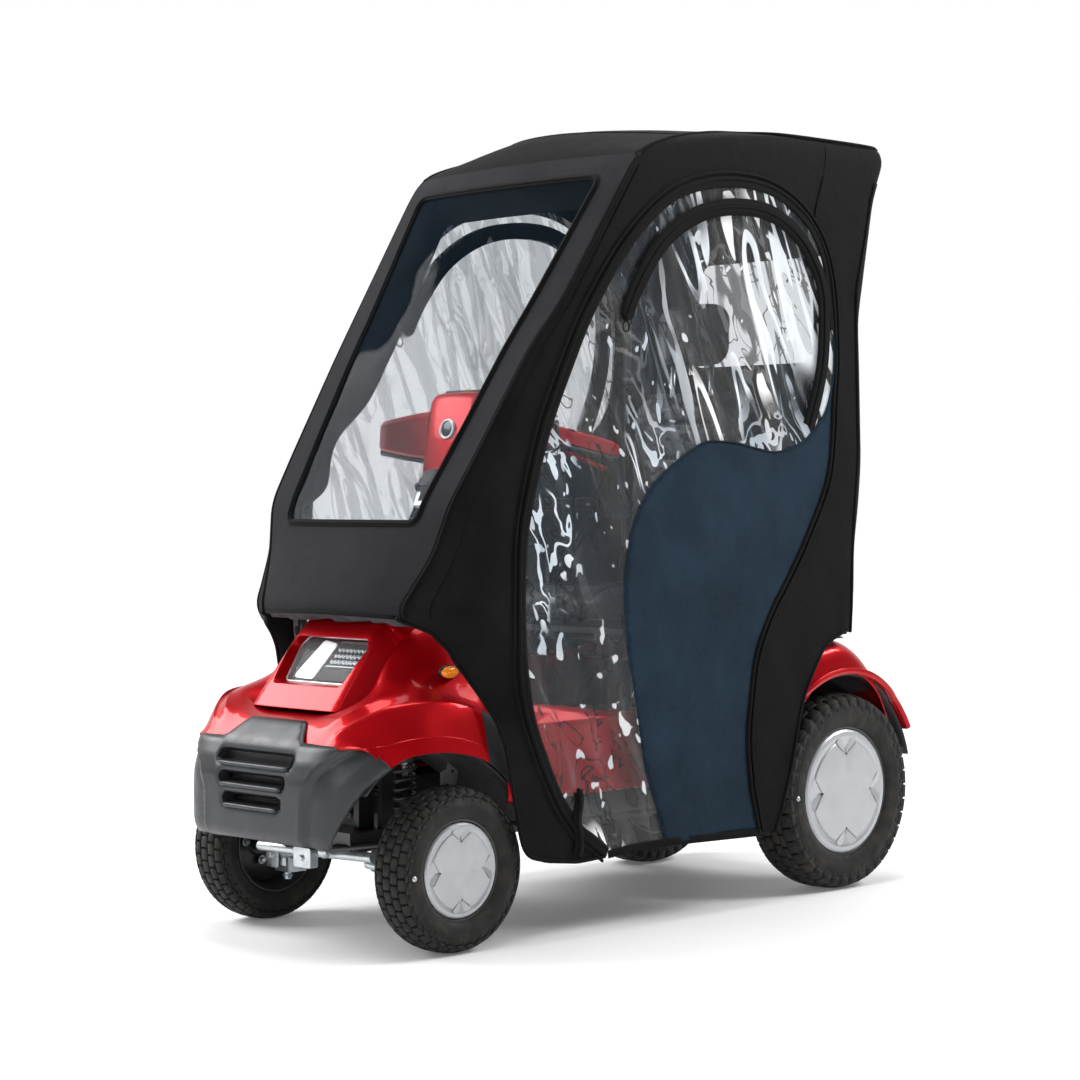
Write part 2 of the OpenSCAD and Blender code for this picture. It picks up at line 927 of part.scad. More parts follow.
module canopy_roof() {
    color([0.13, 0.13, 0.14])
        skin_part() block([-wide, -900, roof_z], [wide, 900, 1800]);
}

module canopy_rear() {
    color([0.13, 0.13, 0.14])
        difference() {
            skin_part() rear_zone();
            front_shape(REAR_WINDOW, 400, 900);
        }
}

module rear_window() {
    color([0.7, 0.75, 0.8], 0.4)
        skin_part()
            intersection() {
                rear_zone();
                front_shape(REAR_WINDOW, 400, 900);
            }
}

// Everything of the side that is neither front, rear nor roof, down to the hem
SIDE_ZONE = concat(
    CREASE,
    [[742, roof_z], [712, 1558], [650, 1353], [652, 1218], [652, 991], [620, 832], [620, 581],
    [590, 581], [500, 520],
    [430, 400], [375, 240], [345, 158], [-310, 158], [-400, 190], [-425, 300], [-455, 440], [-530, 590]]
);

module canopy_side() {
    color([0.13, 0.13, 0.14])
        difference() {
            skin_part() side_shape(SIDE_ZONE, 120, wide);
            side_shape(DOOR, 120, wide);
        }
}

module door() {
    color([0.16, 0.22, 0.3])
        skin_part() side_shape(inset(DOOR, -1), 120, wide);
}

module canopy_frame() {
    hoop = [
        [246, -478, 592], [252, -470, 660], [250, -455, 880], [262, -420, 980], [294, -225, 1284],
        [308, -50, 1540], [304, 30, 1640], [304, 690, 1640], [314, 650, 1540], [322, 600, 1300],
        [326, 590, 900], [318, 590, 567]
    ];
    color([0.1, 0.1, 0.1]) {
        both_sides() bent_tube(hoop, hoop_r, $fn = 16);
        bar_x(-304, 304, 30, 1640, hoop_r);
        bar_x(-304, 304, 690, 1640, hoop_r);
        both_sides() block([300, 570, 566.5], [336, 610, 570]);
    }
}

// ---- every node ----

// Moves a piece from where it is drawn to the middle of the machine
module placed() {
    translate([0, -middle_y, 0]) children();
}

placed() chassis_frame();
placed() floor_tray();
placed() floor_mat();
placed() side_skirts();
placed() front_body_shell();
placed() front_bumper();
placed() headlamp_unit();
placed() headlamp_lens();
placed() indicators();
placed() rear_body_shell();
placed() rear_bumper();
placed() tail_lamps();
placed() batteries();
placed() controller();
placed() front_shocks();
placed() rear_shocks();
placed() column_tube();
placed() seat_post();
placed() canopy_frame();
placed() canopy_front();
placed() canopy_roof();
placed() canopy_side();  // canopy_side_left
placed() mirror([1, 0, 0]) canopy_side();  // canopy_side_right
placed() canopy_rear();
placed() windscreen();
placed() rear_window();
placed() door();  // door_left
placed() mirror([1, 0, 0]) door();  // door_right
placed() front_arm(1);  // front_arm_left
placed() front_arm(-1);  // front_arm_right
placed() knuckle(1);  // knuckle_left
placed() knuckle(-1);  // knuckle_right
placed() front_tyre(1);  // front_tyre_left
placed() front_tyre(-1);  // front_tyre_right
placed() front_rim(1);  // front_rim_left
placed() front_rim(-1);  // front_rim_right
placed() transaxle();
placed() motor();
placed() freewheel_lever();
placed() rear_tyre(1);  // rear_tyre_left
placed() rear_tyre(-1);  // rear_tyre_right
placed() rear_rim(1);  // rear_rim_left
placed() rear_rim(-1);  // rear_rim_right
placed() steering_shaft();
placed() track_rod();
placed() tiller_head();
placed() handlebar();
placed() dash_panel();
placed() throttle_lever();
placed() brake_lever();
placed() key();
placed() speed_dial();
placed() horn_button();
placed() seat_swivel();
placed() seat_pan();
placed() seat_cushion();
placed() backrest();
placed() headrest();
placed() armrest(1);  // armrest_left
placed() armrest(-1);  // armrest_right
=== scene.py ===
import math
import random
import bpy
import numpy as np
from mathutils import Matrix, Vector, noise
from mathutils.geometry import delaunay_2d_cdt


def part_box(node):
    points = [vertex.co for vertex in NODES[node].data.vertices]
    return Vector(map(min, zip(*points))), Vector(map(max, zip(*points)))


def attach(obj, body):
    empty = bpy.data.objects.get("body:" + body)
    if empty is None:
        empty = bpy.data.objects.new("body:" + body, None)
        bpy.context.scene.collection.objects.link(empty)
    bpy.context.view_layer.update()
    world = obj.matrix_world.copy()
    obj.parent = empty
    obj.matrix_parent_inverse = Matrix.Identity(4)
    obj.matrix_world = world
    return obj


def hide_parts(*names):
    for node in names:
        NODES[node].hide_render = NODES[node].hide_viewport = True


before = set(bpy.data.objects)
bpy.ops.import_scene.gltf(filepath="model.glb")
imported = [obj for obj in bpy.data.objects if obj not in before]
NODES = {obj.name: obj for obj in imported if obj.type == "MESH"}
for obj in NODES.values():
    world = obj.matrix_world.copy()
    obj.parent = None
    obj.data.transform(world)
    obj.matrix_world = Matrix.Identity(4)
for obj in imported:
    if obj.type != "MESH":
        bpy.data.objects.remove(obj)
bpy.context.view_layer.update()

random.seed(7)
pi = math.pi

# Everything below is written about the line that part.scad draws from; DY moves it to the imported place.
_lo, _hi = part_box("front_tyre_left")
DY = (_lo.y + _hi.y)/2 + 0.545
FRONT_Y, REAR_Y = -0.545, 0.616

# ---------------------------------------------------------------- camera and light
scene = bpy.context.scene
scene.view_settings.view_transform = "Standard"
cam_data = bpy.data.cameras.new("camera")
cam = bpy.data.objects.new("camera", cam_data)
scene.collection.objects.link(cam)
scene.camera = cam
yaw, pitch, roll = (math.radians(a) for a in (45.8706, 1.0757, -0.2058))
back = Vector((math.sin(yaw)*math.cos(pitch), -math.cos(yaw)*math.cos(pitch), math.sin(pitch)))
right = (-back).cross(Vector((0, 0, 1))).normalized()
up = right.cross(-back)
r2 = right*math.cos(roll) + up*math.sin(roll)
u2 = -right*math.sin(roll) + up*math.cos(roll)
cam.matrix_world = Matrix((
    (r2.x, u2.x, back.x, 3.9781), (r2.y, u2.y, back.y, -3.8722 + DY), (r2.z, u2.z, back.z, 0.8976),
    (0, 0, 0, 1)))
cam_data.sensor_width = 36
cam_data.lens = 84.953


def area_light(name, place, target, size, power, size_y=None, color=(1, 1, 1)):
    d = bpy.data.lights.new(name, "AREA")
    d.energy = power
    d.color = color
    d.shape = "RECTANGLE"
    d.size = size
    d.size_y = size_y or size
    o = bpy.data.objects.new(name, d)
    scene.collection.objects.link(o)
    o.location = place
    o.rotation_euler = (Vector(target) - Vector(place)).to_track_quat("-Z", "Y").to_euler()
    return o


area_light("key", (-2.9, -2.3, 2.9), (0, -0.3, 0.6), 2.8, 190, 2.0)
area_light("fill", (1.6, -4.6, 1.9), (0, -0.1, 0.7), 1.4, 45, 1.4)
area_light("rim", (2.3, 3.2, 3.3), (0.1, 0.0, 0.6), 1.8, 130, 1.3)
area_light("top", (0.0, 0.3, 4.4), (0, 0, 0.8), 2.4, 135, 3.0)
world = bpy.data.worlds.new("world")
scene.world = world
world.use_nodes = True
wn = world.node_tree
# a white wall behind the machine, and a dim room around the rest
w_dir = wn.nodes.new("ShaderNodeTexCoord")
w_dot = wn.nodes.new("ShaderNodeVectorMath")
w_dot.operation = "DOT_PRODUCT"
w_dot.inputs[1].default_value = (-0.717, 0.696, -0.10)
w_map = wn.nodes.new("ShaderNodeMapRange")
w_map.interpolation_type = "SMOOTHSTEP"
for w_key, w_value in (("From Min", 0.30), ("From Max", 0.82), ("To Min", 0.17), ("To Max", 1.0)):
    w_map.inputs[w_key].default_value = w_value
wn.links.new(w_dir.outputs["Generated"], w_dot.inputs[0])
wn.links.new(w_dot.outputs["Value"], w_map.inputs["Value"])
wn.links.new(w_map.outputs[0], wn.nodes["Background"].inputs[1])
wn.nodes["Background"].inputs[0].default_value = (1, 1, 1, 1)


# ---------------------------------------------------------------- materials
class Mat:
    """A material with a Principled shader and a few node shortcuts."""

    def __init__(self, name, color, rough, metal=0.0, **plain):
        self.m = bpy.data.materials.new(name)
        self.m.use_nodes = True
        self.nt = self.m.node_tree
        self.b = self.nt.nodes["Principled BSDF"]
        self.set("Base Color", (*color, 1))
        self.set("Roughness", rough)
        self.set("Metallic", metal)
        for k, v in plain.items():
            self.set(k.replace("_", " "), v)
        self.coord = self.nt.nodes.new("ShaderNodeTexCoord").outputs["Object"]

    def set(self, key, value):
        self.b.inputs[key].default_value = value

    def link(self, a, b):
        self.nt.links.new(a, b)

    def node(self, kind, **props):
        n = self.nt.nodes.new("ShaderNode" + kind)
        for k, v in props.items():
            setattr(n, k, v)
        return n

    def mapped(self, scale=(1, 1, 1), rotation=(0, 0, 0)):
        n = self.node("Mapping")
        n.inputs["Scale"].default_value = scale
        n.inputs["Rotation"].default_value = rotation
        self.link(self.coord, n.inputs["Vector"])
        return n.outputs[0]

    def noise(self, scale, detail=3, rough=0.5, vector=None, distortion=0.0):
        n = self.node("TexNoise")
        n.inputs["Scale"].default_value = scale
        n.inputs["Detail"].default_value = detail
        n.inputs["Roughness"].default_value = rough
        n.inputs["Distortion"].default_value = distortion
        self.link(vector or self.coord, n.inputs["Vector"])
        return n.outputs["Fac"]

    def voronoi(self, scale, feature="F1", vector=None):
        n = self.node("TexVoronoi", feature=feature)
        n.inputs["Scale"].default_value = scale
        self.link(vector or self.coord, n.inputs["Vector"])
        return n.outputs["Distance"]

    def wave(self, scale, direction, vector=None):
        n = self.node("TexWave", wave_type="BANDS", bands_direction=direction, wave_profile="SIN")
        n.inputs["Scale"].default_value = scale
        self.link(vector or self.coord, n.inputs["Vector"])
        return n.outputs["Fac"]

    def remap(self, fac, lo, hi, a=0.0, b=1.0):
        n = self.node("MapRange")
        n.inputs["From Min"].default_value = lo
        n.inputs["From Max"].default_value = hi
        n.inputs["To Min"].default_value = a
        n.inputs["To Max"].default_value = b
        self.link(fac, n.inputs["Value"])
        return n.outputs[0]

    def math(self, op, a, b):
        n = self.node("Math", operation=op)
        for i, v in enumerate((a, b)):
            if hasattr(v, "is_linked"):
                self.link(v, n.inputs[i])
            else:
                n.inputs[i].default_value = v
        return n.outputs[0]

    def mix(self, fac, a, b):
        n = self.node("Mix", data_type="RGBA")
        self.link(fac, n.inputs["Factor"])
        for key, v in ((6, a), (7, b)):
            if hasattr(v, "is_linked"):
                self.link(v, n.inputs[key])
            else:
                n.inputs[key].default_value = (*v, 1)
        return n.outputs[2]

    def color(self, socket):
        self.link(socket, self.b.inputs["Base Color"])

    def rough(self, socket):
        self.link(socket, self.b.inputs["Roughness"])

    def bump(self, height, strength, distance):
        n = self.node("Bump")
        n.inputs["Strength"].default_value = strength
        n.inputs["Distance"].default_value = distance
        self.link(height, n.inputs["Height"])
        old = self.b.inputs["Normal"]
        if old.is_linked:
            self.link(old.links[0].from_socket, n.inputs["Normal"])
        self.link(n.outputs[0], old)
        return n.outputs[0]


def paint_red(name="red_paint"):
    m = Mat(name, (0.42, 0.0, 0.003), 0.34, 0.55, Specular_IOR_Level=0.08, Coat_Weight=0.34,
            Coat_Roughness=0.03, Coat_IOR=1.45)
    m.color(m.mix(m.noise(5, 2), (0.36, 0.0, 0.003), (0.50, 0.001, 0.006)))
    flakes = m.voronoi(900)
    m.rough(m.remap(flakes, 0.0, 0.8, 0.26, 0.42))
    m.bump(flakes, 0.05, 0.0004)
    return m.m


def plastic(name, color, rough, metal=0.0, grain=700, depth=0.25):
    m = Mat(name, color, rough, metal)
    lighter = tuple(min(1, c*1.35 + 0.004) for c in color)
    darker = tuple(c*0.82 for c in color)
    m.color(m.mix(m.noise(9, 4), darker, lighter))
    m.rough(m.remap(m.noise(30, 4), 0.3, 0.7, rough - 0.06, rough + 0.08))
    m.bump(m.noise(grain, 2), depth, 0.0006)
    return m.m


def zinc(name="zinc", tint=(0.52, 0.56, 0.60)):
    m = Mat(name, tint, 0.34, 0.9)
    m.color(m.mix(m.noise(26, 4, 0.6), (tint[0]*0.75, tint[1]*0.82, tint[2]*0.92), (0.70, 0.71, 0.66)))
    m.rough(m.remap(m.noise(60, 5), 0.3, 0.7, 0.24, 0.5))
    m.bump(m.noise(220, 3), 0.12, 0.0005)
    return m.m


def steel(name="frame_steel"):
    m = Mat(name, (0.016, 0.017, 0.019), 0.42, 0.0, Coat_Weight=0.3, Coat_Roughness=0.25)
    m.color(m.mix(m.noise(14, 4), (0.010, 0.011, 0.012), (0.030, 0.031, 0.034)))
    m.bump(m.noise(350, 2), 0.2, 0.0007)
    return m.m


def silver(name="alloy"):
    m = Mat(name, (0.46, 0.47, 0.49), 0.36, 0.55, Coat_Weight=0.35, Coat_Roughness=0.2)
    m.color(m.mix(m.noise(18, 3), (0.42, 0.43, 0.45), (0.52, 0.53, 0.55)))
    m.rough(m.remap(m.noise(50, 4), 0.3, 0.7, 0.30, 0.44))
    m.bump(m.voronoi(1400), 0.05, 0.0002)
    return m.m


def rubber(name="tyre", color=(0.0125, 0.0122, 0.0118), dust=(0.036, 0.032, 0.026)):
    m = Mat(name, color, 0.72, 0.0, Specular_IOR_Level=0.35)
    m.color(m.mix(m.remap(m.noise(24, 6, 0.65), 0.46, 0.78), color, dust))
    m.rough(m.remap(m.noise(40, 4), 0.3, 0.7, 0.60, 0.85))
    m.bump(m.noise(260, 4), 0.35, 0.0008)
    return m.m


def woven(name, color, pitch=1100.0, sheen=0.25, soft=0.35):
    """Coarse polyester: two crossed thread directions on each face, with slub, dye and rubbed patches."""
    m = Mat(name, color, 0.78, 0.0, Sheen_Weight=sheen, Sheen_Roughness=0.5, Specular_IOR_Level=0.07)
    w = m.math("MAXIMUM", m.wave(pitch, "Z"), m.wave(pitch, "Y"))
    w = m.math("MULTIPLY", w, m.wave(pitch, "X"))
    dye = m.noise(7, 5, 0.55)
    fine = m.noise(420, 2)
    light = tuple(min(1, c*1.45 + 0.004) for c in color)
    dark = tuple(c*0.72 for c in color)
    m.color(m.mix(m.remap(m.math("ADD", dye, m.math("MULTIPLY", fine, 0.35)), 0.45, 0.95), dark, light))
    m.rough(m.remap(dye, 0.3, 0.7, 0.66, 0.86))
    m.bump(m.noise(26, 3, 0.5), soft, 0.006)
    m.bump(fine, 0.22, 0.0006)
    m.bump(w, 0.30, 0.0004)
    return m.m


def leather(name="vinyl", color=(0.0150, 0.0170, 0.0205)):
    m = Mat(name, color, 0.46, 0.0, Coat_Weight=0.12, Coat_Roughness=0.35)
    cells = m.voronoi(420)
    m.color(m.mix(m.noise(8, 4), tuple(c*0.78 for c in color), tuple(c*1.4 for c in color)))
    m.rough(m.remap(cells, 0.0, 0.6, 0.38, 0.60))
    m.bump(m.noise(16, 3), 0.22, 0.004)
    m.bump(cells, 0.4, 0.0006)
    return m.m


def clear(name, tint, strength, haze, painted_streaks=False, rough=0.04, ripple=0.0, film=(0.80, 0.82, 0.84)):
    """See-through sheet: its reflection over plain transparency. With a streak strength set, its creases
    carry painted highlights (a white glow and a whitened film) and painted shade (darker see-through),
    standing in for the light they would catch.
    """
    m = Mat(name, film, rough, 0.0)
    nt = m.nt
    open_ = m.node("BsdfTransparent")
    open_.inputs[0].default_value = (*tint, 1)
    fres = m.node("Fresnel")
    fres.inputs[0].default_value = 1.5
    if painted_streaks:
        # hanging folds lean back as they fall; dents gather low and ahead
        leaning = m.mapped((1, 1, 1), (math.radians(-24), 0, 0))

        def stretched(k):
            n = m.node("Mapping")
            n.inputs["Scale"].default_value = (0.6, 1.0, k)
            m.link(leaning, n.inputs["Vector"])
            return n.outputs[0]
        place = m.node("SeparateXYZ")
        m.link(m.coord, place.inputs[0])
        back_share = m.remap(m.math("ADD", place.outputs["Y"],
                                    m.math("MULTIPLY", place.outputs["Z"], 0.35)), 0.37, 0.52)
        low_share = m.remap(place.outputs["Z"], 1.12, 0.95)
        folds = m.noise(11.0, 1.6, 0.45, stretched(0.17), 0.35)
        dents = m.noise(12.0, 2.2, 0.5, stretched(0.55), 1.1)
        painted_glint_noise = m.noise(30.0, 1.0, 0.5, stretched(0.7), 0.4)
        rings = m.math("SINE", m.math("MULTIPLY", folds, 42.0), 0.0)
        blobs = m.math("SINE", m.math("MULTIPLY", dents, 30.0), 0.0)
        m.bump(folds, 0.7, 0.05)
        normal = m.bump(dents, 0.4, 0.03)
        m.link(normal, fres.inputs["Normal"])
        # painted highlights: white glow and a whitened film along the fold lines (more towards the back), on
        # dents (more low down) and in small bright flecks, standing in for lamps caught in the creases
        painted_line_highlights = m.math("MULTIPLY", m.remap(rings, 0.42, 0.60), back_share)
        painted_line_highlights = m.math("MULTIPLY", painted_line_highlights, m.remap(m.noise(5.0, 2), 0.40, 0.52, 0.15, 1.0))
        patches = m.math("MULTIPLY", m.remap(blobs, 0.66, 0.72),
                         m.remap(m.noise(6.0, 2, 0.5, stretched(0.5)), 0.50, 0.54))
        patches = m.math("MULTIPLY", patches, m.math("ADD", m.math("MULTIPLY", low_share, 0.85), 0.12))
        painted_glints = m.math("MULTIPLY", m.remap(painted_glint_noise, 0.68, 0.70), 0.75)
        painted_shine = m.math("MAXIMUM", m.math("MAXIMUM", painted_line_highlights, patches), painted_glints)
        # painted shade: dark lines in the fold troughs and dark spots on dents
        shade = m.math("MAXIMUM", m.math("MULTIPLY", m.remap(rings, -0.62, -0.86), back_share),
                       m.remap(blobs, -0.93, -0.97))
        # film whiter on the fold crests, part of the painted highlights
        m.color(m.mix(m.remap(folds, 0.40, 0.62), (0.62, 0.70, 0.78), (0.98, 0.98, 0.98)))
        # the painted highlights glow white through emission
        m.set("Emission Color", (1, 1, 1, 1))
        m.link(m.math("MULTIPLY", painted_shine, 0.18*painted_streaks), m.b.inputs["Emission Strength"])
        # painted shade: the see-through tint is darkened where the shade mask falls
        open_mix = m.mix(shade, tint, tuple(t*(1 - 0.9*painted_streaks) for t in tint))
        m.link(open_mix, open_.inputs[0])
        amount = m.math("ADD", m.math("MULTIPLY", painted_shine, painted_streaks), haze)
    else:
        amount = m.math("ADD", m.math("MULTIPLY", m.remap(m.noise(6, 4), 0.35, 0.75), haze*0.8), haze*0.6)
        if ripple:
            normal = m.bump(m.noise(3.5, 2), ripple, 0.02)
            m.link(normal, fres.inputs["Normal"])
    total = m.math("ADD", amount, m.math("MULTIPLY", fres.outputs[0], strength))
    total = m.math("MINIMUM", total, 0.97)
    mixer = m.node("MixShader")
    m.link(total, mixer.inputs[0])
    m.link(open_.outputs[0], mixer.inputs[1])
    m.link(m.b.outputs[0], mixer.inputs[2])
    lamp_ray = m.node("LightPath")
    let_by = m.node("BsdfTransparent")
    let_by.inputs[0].default_value = tuple(t*0.92 for t in tint) + (1,)
    last = m.node("MixShader")
    m.link(lamp_ray.outputs["Is Shadow Ray"], last.inputs[0])
    m.link(mixer.outputs[0], last.inputs[1])
    m.link(let_by.outputs[0], last.inputs[2])
    m.link(last.outputs[0], nt.nodes["Material Output"].inputs["Surface"])
    return m.m


def glow(name, color, power, rough=0.2):
    m = Mat(name, color, rough, 0.0, Coat_Weight=0.6, Emission_Strength=power)
    m.set("Emission Color", (*color, 1))
    m.rough(m.remap(m.noise(40, 3), 0.3, 0.7, rough*0.7, rough*1.3))
    m.bump(m.voronoi(260), 0.25, 0.0010)
    return m.m


RED = paint_red()
GREY = plastic("dark_plastic", (0.021, 0.0225, 0.0255), 0.40, 0.12, 900, 0.25)
BLACK = plastic("black_plastic", (0.014, 0.014, 0.015), 0.48, 0.0, 600, 0.35)
GLOSSBLACK = plastic("gloss_black", (0.012, 0.012, 0.013), 0.14, 0.0, 60, 0.03)
STEEL = steel()
ZINC = zinc()
SILVER = silver()
TYRE = rubber()
GRIP = rubber("rubber", (0.010, 0.010, 0.010), (0.022, 0.022, 0.022))
VINYL = leather()
FABRIC = woven("canopy_fabric", (0.0058, 0.0058, 0.0063), sheen=0.008)
# painted light: the front cloth is the black side cloth made lighter, standing in for the lamps falling on
# the front
PAINTED_LIT_FRONT_FABRIC = woven("canopy_front_fabric_painted_lit", (0.0150, 0.0155, 0.0180), sheen=0.015)
LINING = woven("canopy_lining", (0.050, 0.053, 0.060), sheen=0.03, soft=0.5)
NAVY = woven("door_fabric", (0.0120, 0.0260, 0.0430), sheen=0.02)
BINDING = woven("binding", (0.0045, 0.0045, 0.0050), 2200.0, 0.02, 0.1)
# the near door's sheet: strong painted highlights and painted shade on its creases
PVC = clear("clear_pane", (0.82, 0.83, 0.84), 0.55, 0.035, painted_streaks=0.86)
# the far door's sheet: the same film with faint painted highlights and painted shade
PVC_FAR = clear("clear_pane_faint_painted_streaks", (0.84, 0.85, 0.86), 0.35, 0.060, painted_streaks=0.20)
SCREEN = clear("windscreen", (0.86, 0.88, 0.90), 0.30, 0.055, ripple=0.15, film=(0.045, 0.085, 0.130))
LENS = clear("lens", (0.93, 0.94, 0.95), 0.9, 0.02)
LED = glow("lamp_bright", (0.95, 0.97, 1.0), 0.35)
CHROME = zinc("lamp_chrome", (0.78, 0.80, 0.82))
AMBER = glow("amber", (0.95, 0.26, 0.01), 0.12, 0.12)
REDLENS = glow("red_lens", (0.45, 0.006, 0.006), 0.05, 0.12)
YELLOW = plastic("button_yellow", (0.70, 0.42, 0.02), 0.35, 0.0, 600, 0.2)


# ---------------------------------------------------------------- shapes
def lerp(a, b, t):
    return a + (b - a)*t


def clamp(v, a=0.0, b=1.0):
    return max(a, min(b, v))


def smooth(t):
    t = clamp(t)
    return t*t*(3 - 2*t)


def curve(points, n=8, closed=False):
    """A smooth line through the points."""
    ps = [Vector(p) for p in points]
    m = len(ps)
    out = []
    for i in range(m if closed else m - 1):
        a, b = ps[i], ps[(i + 1) % m]
        before = ps[(i - 1) % m] if closed or i > 0 else a*2 - b
        after = ps[(i + 2) % m] if closed or i + 2 < m else b*2 - a
        ta, tb = (b - before)*0.5, (after - a)*0.5
        for k in range(n):
            t = k/n
            out.append(a*(2*t**3 - 3*t*t + 1) + ta*(t**3 - 2*t*t + t) + b*(3*t*t - 2*t**3) + tb*(t**3 - t*t))
    if not closed:
        out.append(ps[-1])
    return out


def even(points, step, closed=False):
    """The same line with its points a fixed step apart."""
    ps = [Vector(p) for p in points] + ([Vector(points[0])] if closed else [])
    total = sum((b - a).length for a, b in zip(ps, ps[1:]))
    n = max(2, round(total/step))
    out, i, done = [], 0, 0.0
    for k in range(n if closed else n + 1):
        want = total*k/n
        while i < len(ps) - 2 and done + (ps[i + 1] - ps[i]).length < want:
            done += (ps[i + 1] - ps[i]).length
            i += 1
        seg = (ps[i + 1] - ps[i]).length or 1
        out.append(ps[i].lerp(ps[i + 1], clamp((want - done)/seg)))
    return out


def piece(name, parts, mats, body, slot=None, shade=True, bevel=0.0, thick=0.0, subdivide=0, swaps=()):
    """One object from (points, faces) parts; mats is one material, or one for each part."""
    points, faces, which = [], [], []
    for k, (vs, fs) in enumerate(parts):
        at = len(points)
        points += [(v[0], v[1] + DY, v[2]) for v in vs]
        faces += [tuple(at + i for i in f) for f in fs]
        which += [k]*len(fs)
    mesh = bpy.data.meshes.new(name)
    mesh.from_pydata(points, [], faces)
    mats = mats if isinstance(mats, (list, tuple)) else [mats]
    for m in mats:
        mesh.materials.append(m)
    if len(mats) > 1:
        mesh.polygons.foreach_set("material_index", which)
    mesh.polygons.foreach_set("use_smooth", [shade]*len(mesh.polygons))
    mesh.validate()
    mesh.update()
    o = bpy.data.objects.new(name, mesh)
    scene.collection.objects.link(o)
    if subdivide:
        s = o.modifiers.new("smooth", "SUBSURF")
        s.levels = s.render_levels = subdivide
    if thick:
        s = o.modifiers.new("thick", "SOLIDIFY")
        s.thickness = thick
        s.offset = -1
        s.use_rim = slot != "canopy_fabric"     # its edges are under piping, or meet the next panel
    if bevel:
        b = o.modifiers.new("edges", "BEVEL")
        b.width = bevel
        b.segments = 2
        b.limit_method = "ANGLE"
        b.angle_limit = math.radians(32)
        b.harden_normals = True
    if body:
        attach(o, body)
    if swaps:
        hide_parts(*swaps)
    return o


def tube(points, r, sides=10, closed=False, ends=True):
    """Round tube along a line; r is one radius or one for each point."""
    ps = [Vector(p) for p in points]
    n = len(ps)
    vs, fs, side = [], [], None
    for i, p in enumerate(ps):
        a = ps[i - 1] if i or closed else p
        b = ps[(i + 1) % n] if i < n - 1 or closed else p
        d = (b - a).normalized()
        if side is None:
            side = d.orthogonal().normalized()
        side = (side - d*side.dot(d)).normalized()
        other = d.cross(side)
        rr = r[i] if isinstance(r, (list, tuple)) else r
        for k in range(sides):
            t = 2*pi*k/sides
            vs.append(p + (side*math.cos(t) + other*math.sin(t))*rr)
    for i in range(n if closed else n - 1):
        for k in range(sides):
            a, b = i*sides, ((i + 1) % n)*sides
            fs.append((a + k, a + (k + 1) % sides, b + (k + 1) % sides, b + k))
    if ends and not closed:
        fs.append(tuple(range(sides - 1, -1, -1)))
        fs.append(tuple((n - 1)*sides + k for k in range(sides)))
    return vs, fs


def block(a, b, turn=0.0, about=None, axis="X"):
    """A box between two corners, turned if asked."""
    vs = [Vector((x, y, z)) for x in (a[0], b[0]) for y in (a[1], b[1]) for z in (a[2], b[2])]
    if turn:
        c = Vector(about or [(p + q)/2 for p, q in zip(a, b)])
        m = Matrix.Rotation(turn, 3, axis)
        vs = [c + m @ (v - c) for v in vs]
    return vs, [(0, 1, 3, 2), (4, 6, 7, 5), (0, 4, 5, 1), (2, 3, 7, 6), (0, 2, 6, 4), (1, 5, 7, 3)]


def prism(outline, place, depth):
    """A flat outline drawn out; place maps (u, v, w) to a point and w runs from 0 to depth."""
    n = len(outline)
    vs = [Vector(place(u, v, 0.0)) for u, v in outline] + [Vector(place(u, v, depth)) for u, v in outline]
    fs = [tuple(range(n - 1, -1, -1)), tuple(range(n, 2*n))]
    fs += [(i, (i + 1) % n, n + (i + 1) % n, n + i) for i in range(n)]
    return vs, fs


def lathe(profile, place, steps=64, close=False):
    """(radius, along) points turned about a line; place maps (along, c, s) with c, s the turned radius."""
    vs, fs = [], []
    n = len(profile)
    for k in range(steps):
        t = 2*pi*k/steps
        for r, h in profile:
            vs.append(Vector(place(h, r*math.cos(t), r*math.sin(t))))
    for k in range(steps):
        a, b = k*n, ((k + 1) % steps)*n
        for i in range(n if close else n - 1):
            j = (i + 1) % n
            fs.append((a + i, a + j, b + j, b + i))
    return vs, fs


def bar(a, b, r, sides=20):
    a, b = Vector(a), Vector(b)
    return tube([a, b], r, sides)


def bolt(at, axis, r=0.006, h=0.005):
    """Hexagon head on a washer."""
    at, axis = Vector(at), Vector(axis).normalized()
    w = tube([at, at + axis*h*0.3], r*1.35, 20)
    x = tube([at + axis*h*0.3, at + axis*h*0.9, at + axis*h*1.15], [r, r, r*0.82], 6)
    return w[0] + x[0], w[1] + [tuple(len(w[0]) + i for i in f) for f in x[1]]


def join(*parts):
    vs, fs = [], []
    for a, b in parts:
        fs += [tuple(len(vs) + i for i in f) for f in b]
        vs += list(a)
    return vs, fs


def loft(rings, closed=True, caps=True):
    n = len(rings[0])
    vs = [Vector(p) for ring in rings for p in ring]
    fs = []
    for k in range(len(rings) - 1):
        for i in range(n if closed else n - 1):
            j = (i + 1) % n
            fs.append((k*n + i, k*n + j, (k + 1)*n + j, (k + 1)*n + i))
    if caps:
        fs.append(tuple(range(n - 1, -1, -1)))
        fs.append(tuple((len(rings) - 1)*n + i for i in range(n)))
    return vs, fs


def inside(px, py, loop):
    """Whether each point is inside the loop (even-odd), as an array."""
    hit = np.zeros(px.shape, bool)
    n = len(loop)
    for i in range(n):
        (x0, y0), (x1, y1) = loop[i], loop[(i + 1) % n]
        if y0 == y1:
            continue
        cross = ((y0 > py) != (y1 > py)) & (px < (x1 - x0)*(py - y0)/(y1 - y0) + x0)
        hit ^= cross
    return hit


def edge_distance(px, py, loops):
    best = np.full(px.shape, 9.0)
    for loop in loops:
        n = len(loop)
        for i in range(n):
            (x0, y0), (x1, y1) = loop[i], loop[(i + 1) % n]
            dx, dy = x1 - x0, y1 - y0
            t = np.clip(((px - x0)*dx + (py - y0)*dy)/(dx*dx + dy*dy + 1e-12), 0, 1)
            best = np.minimum(best, np.hypot(px - x0 - t*dx, py - y0 - t*dy))
    return best


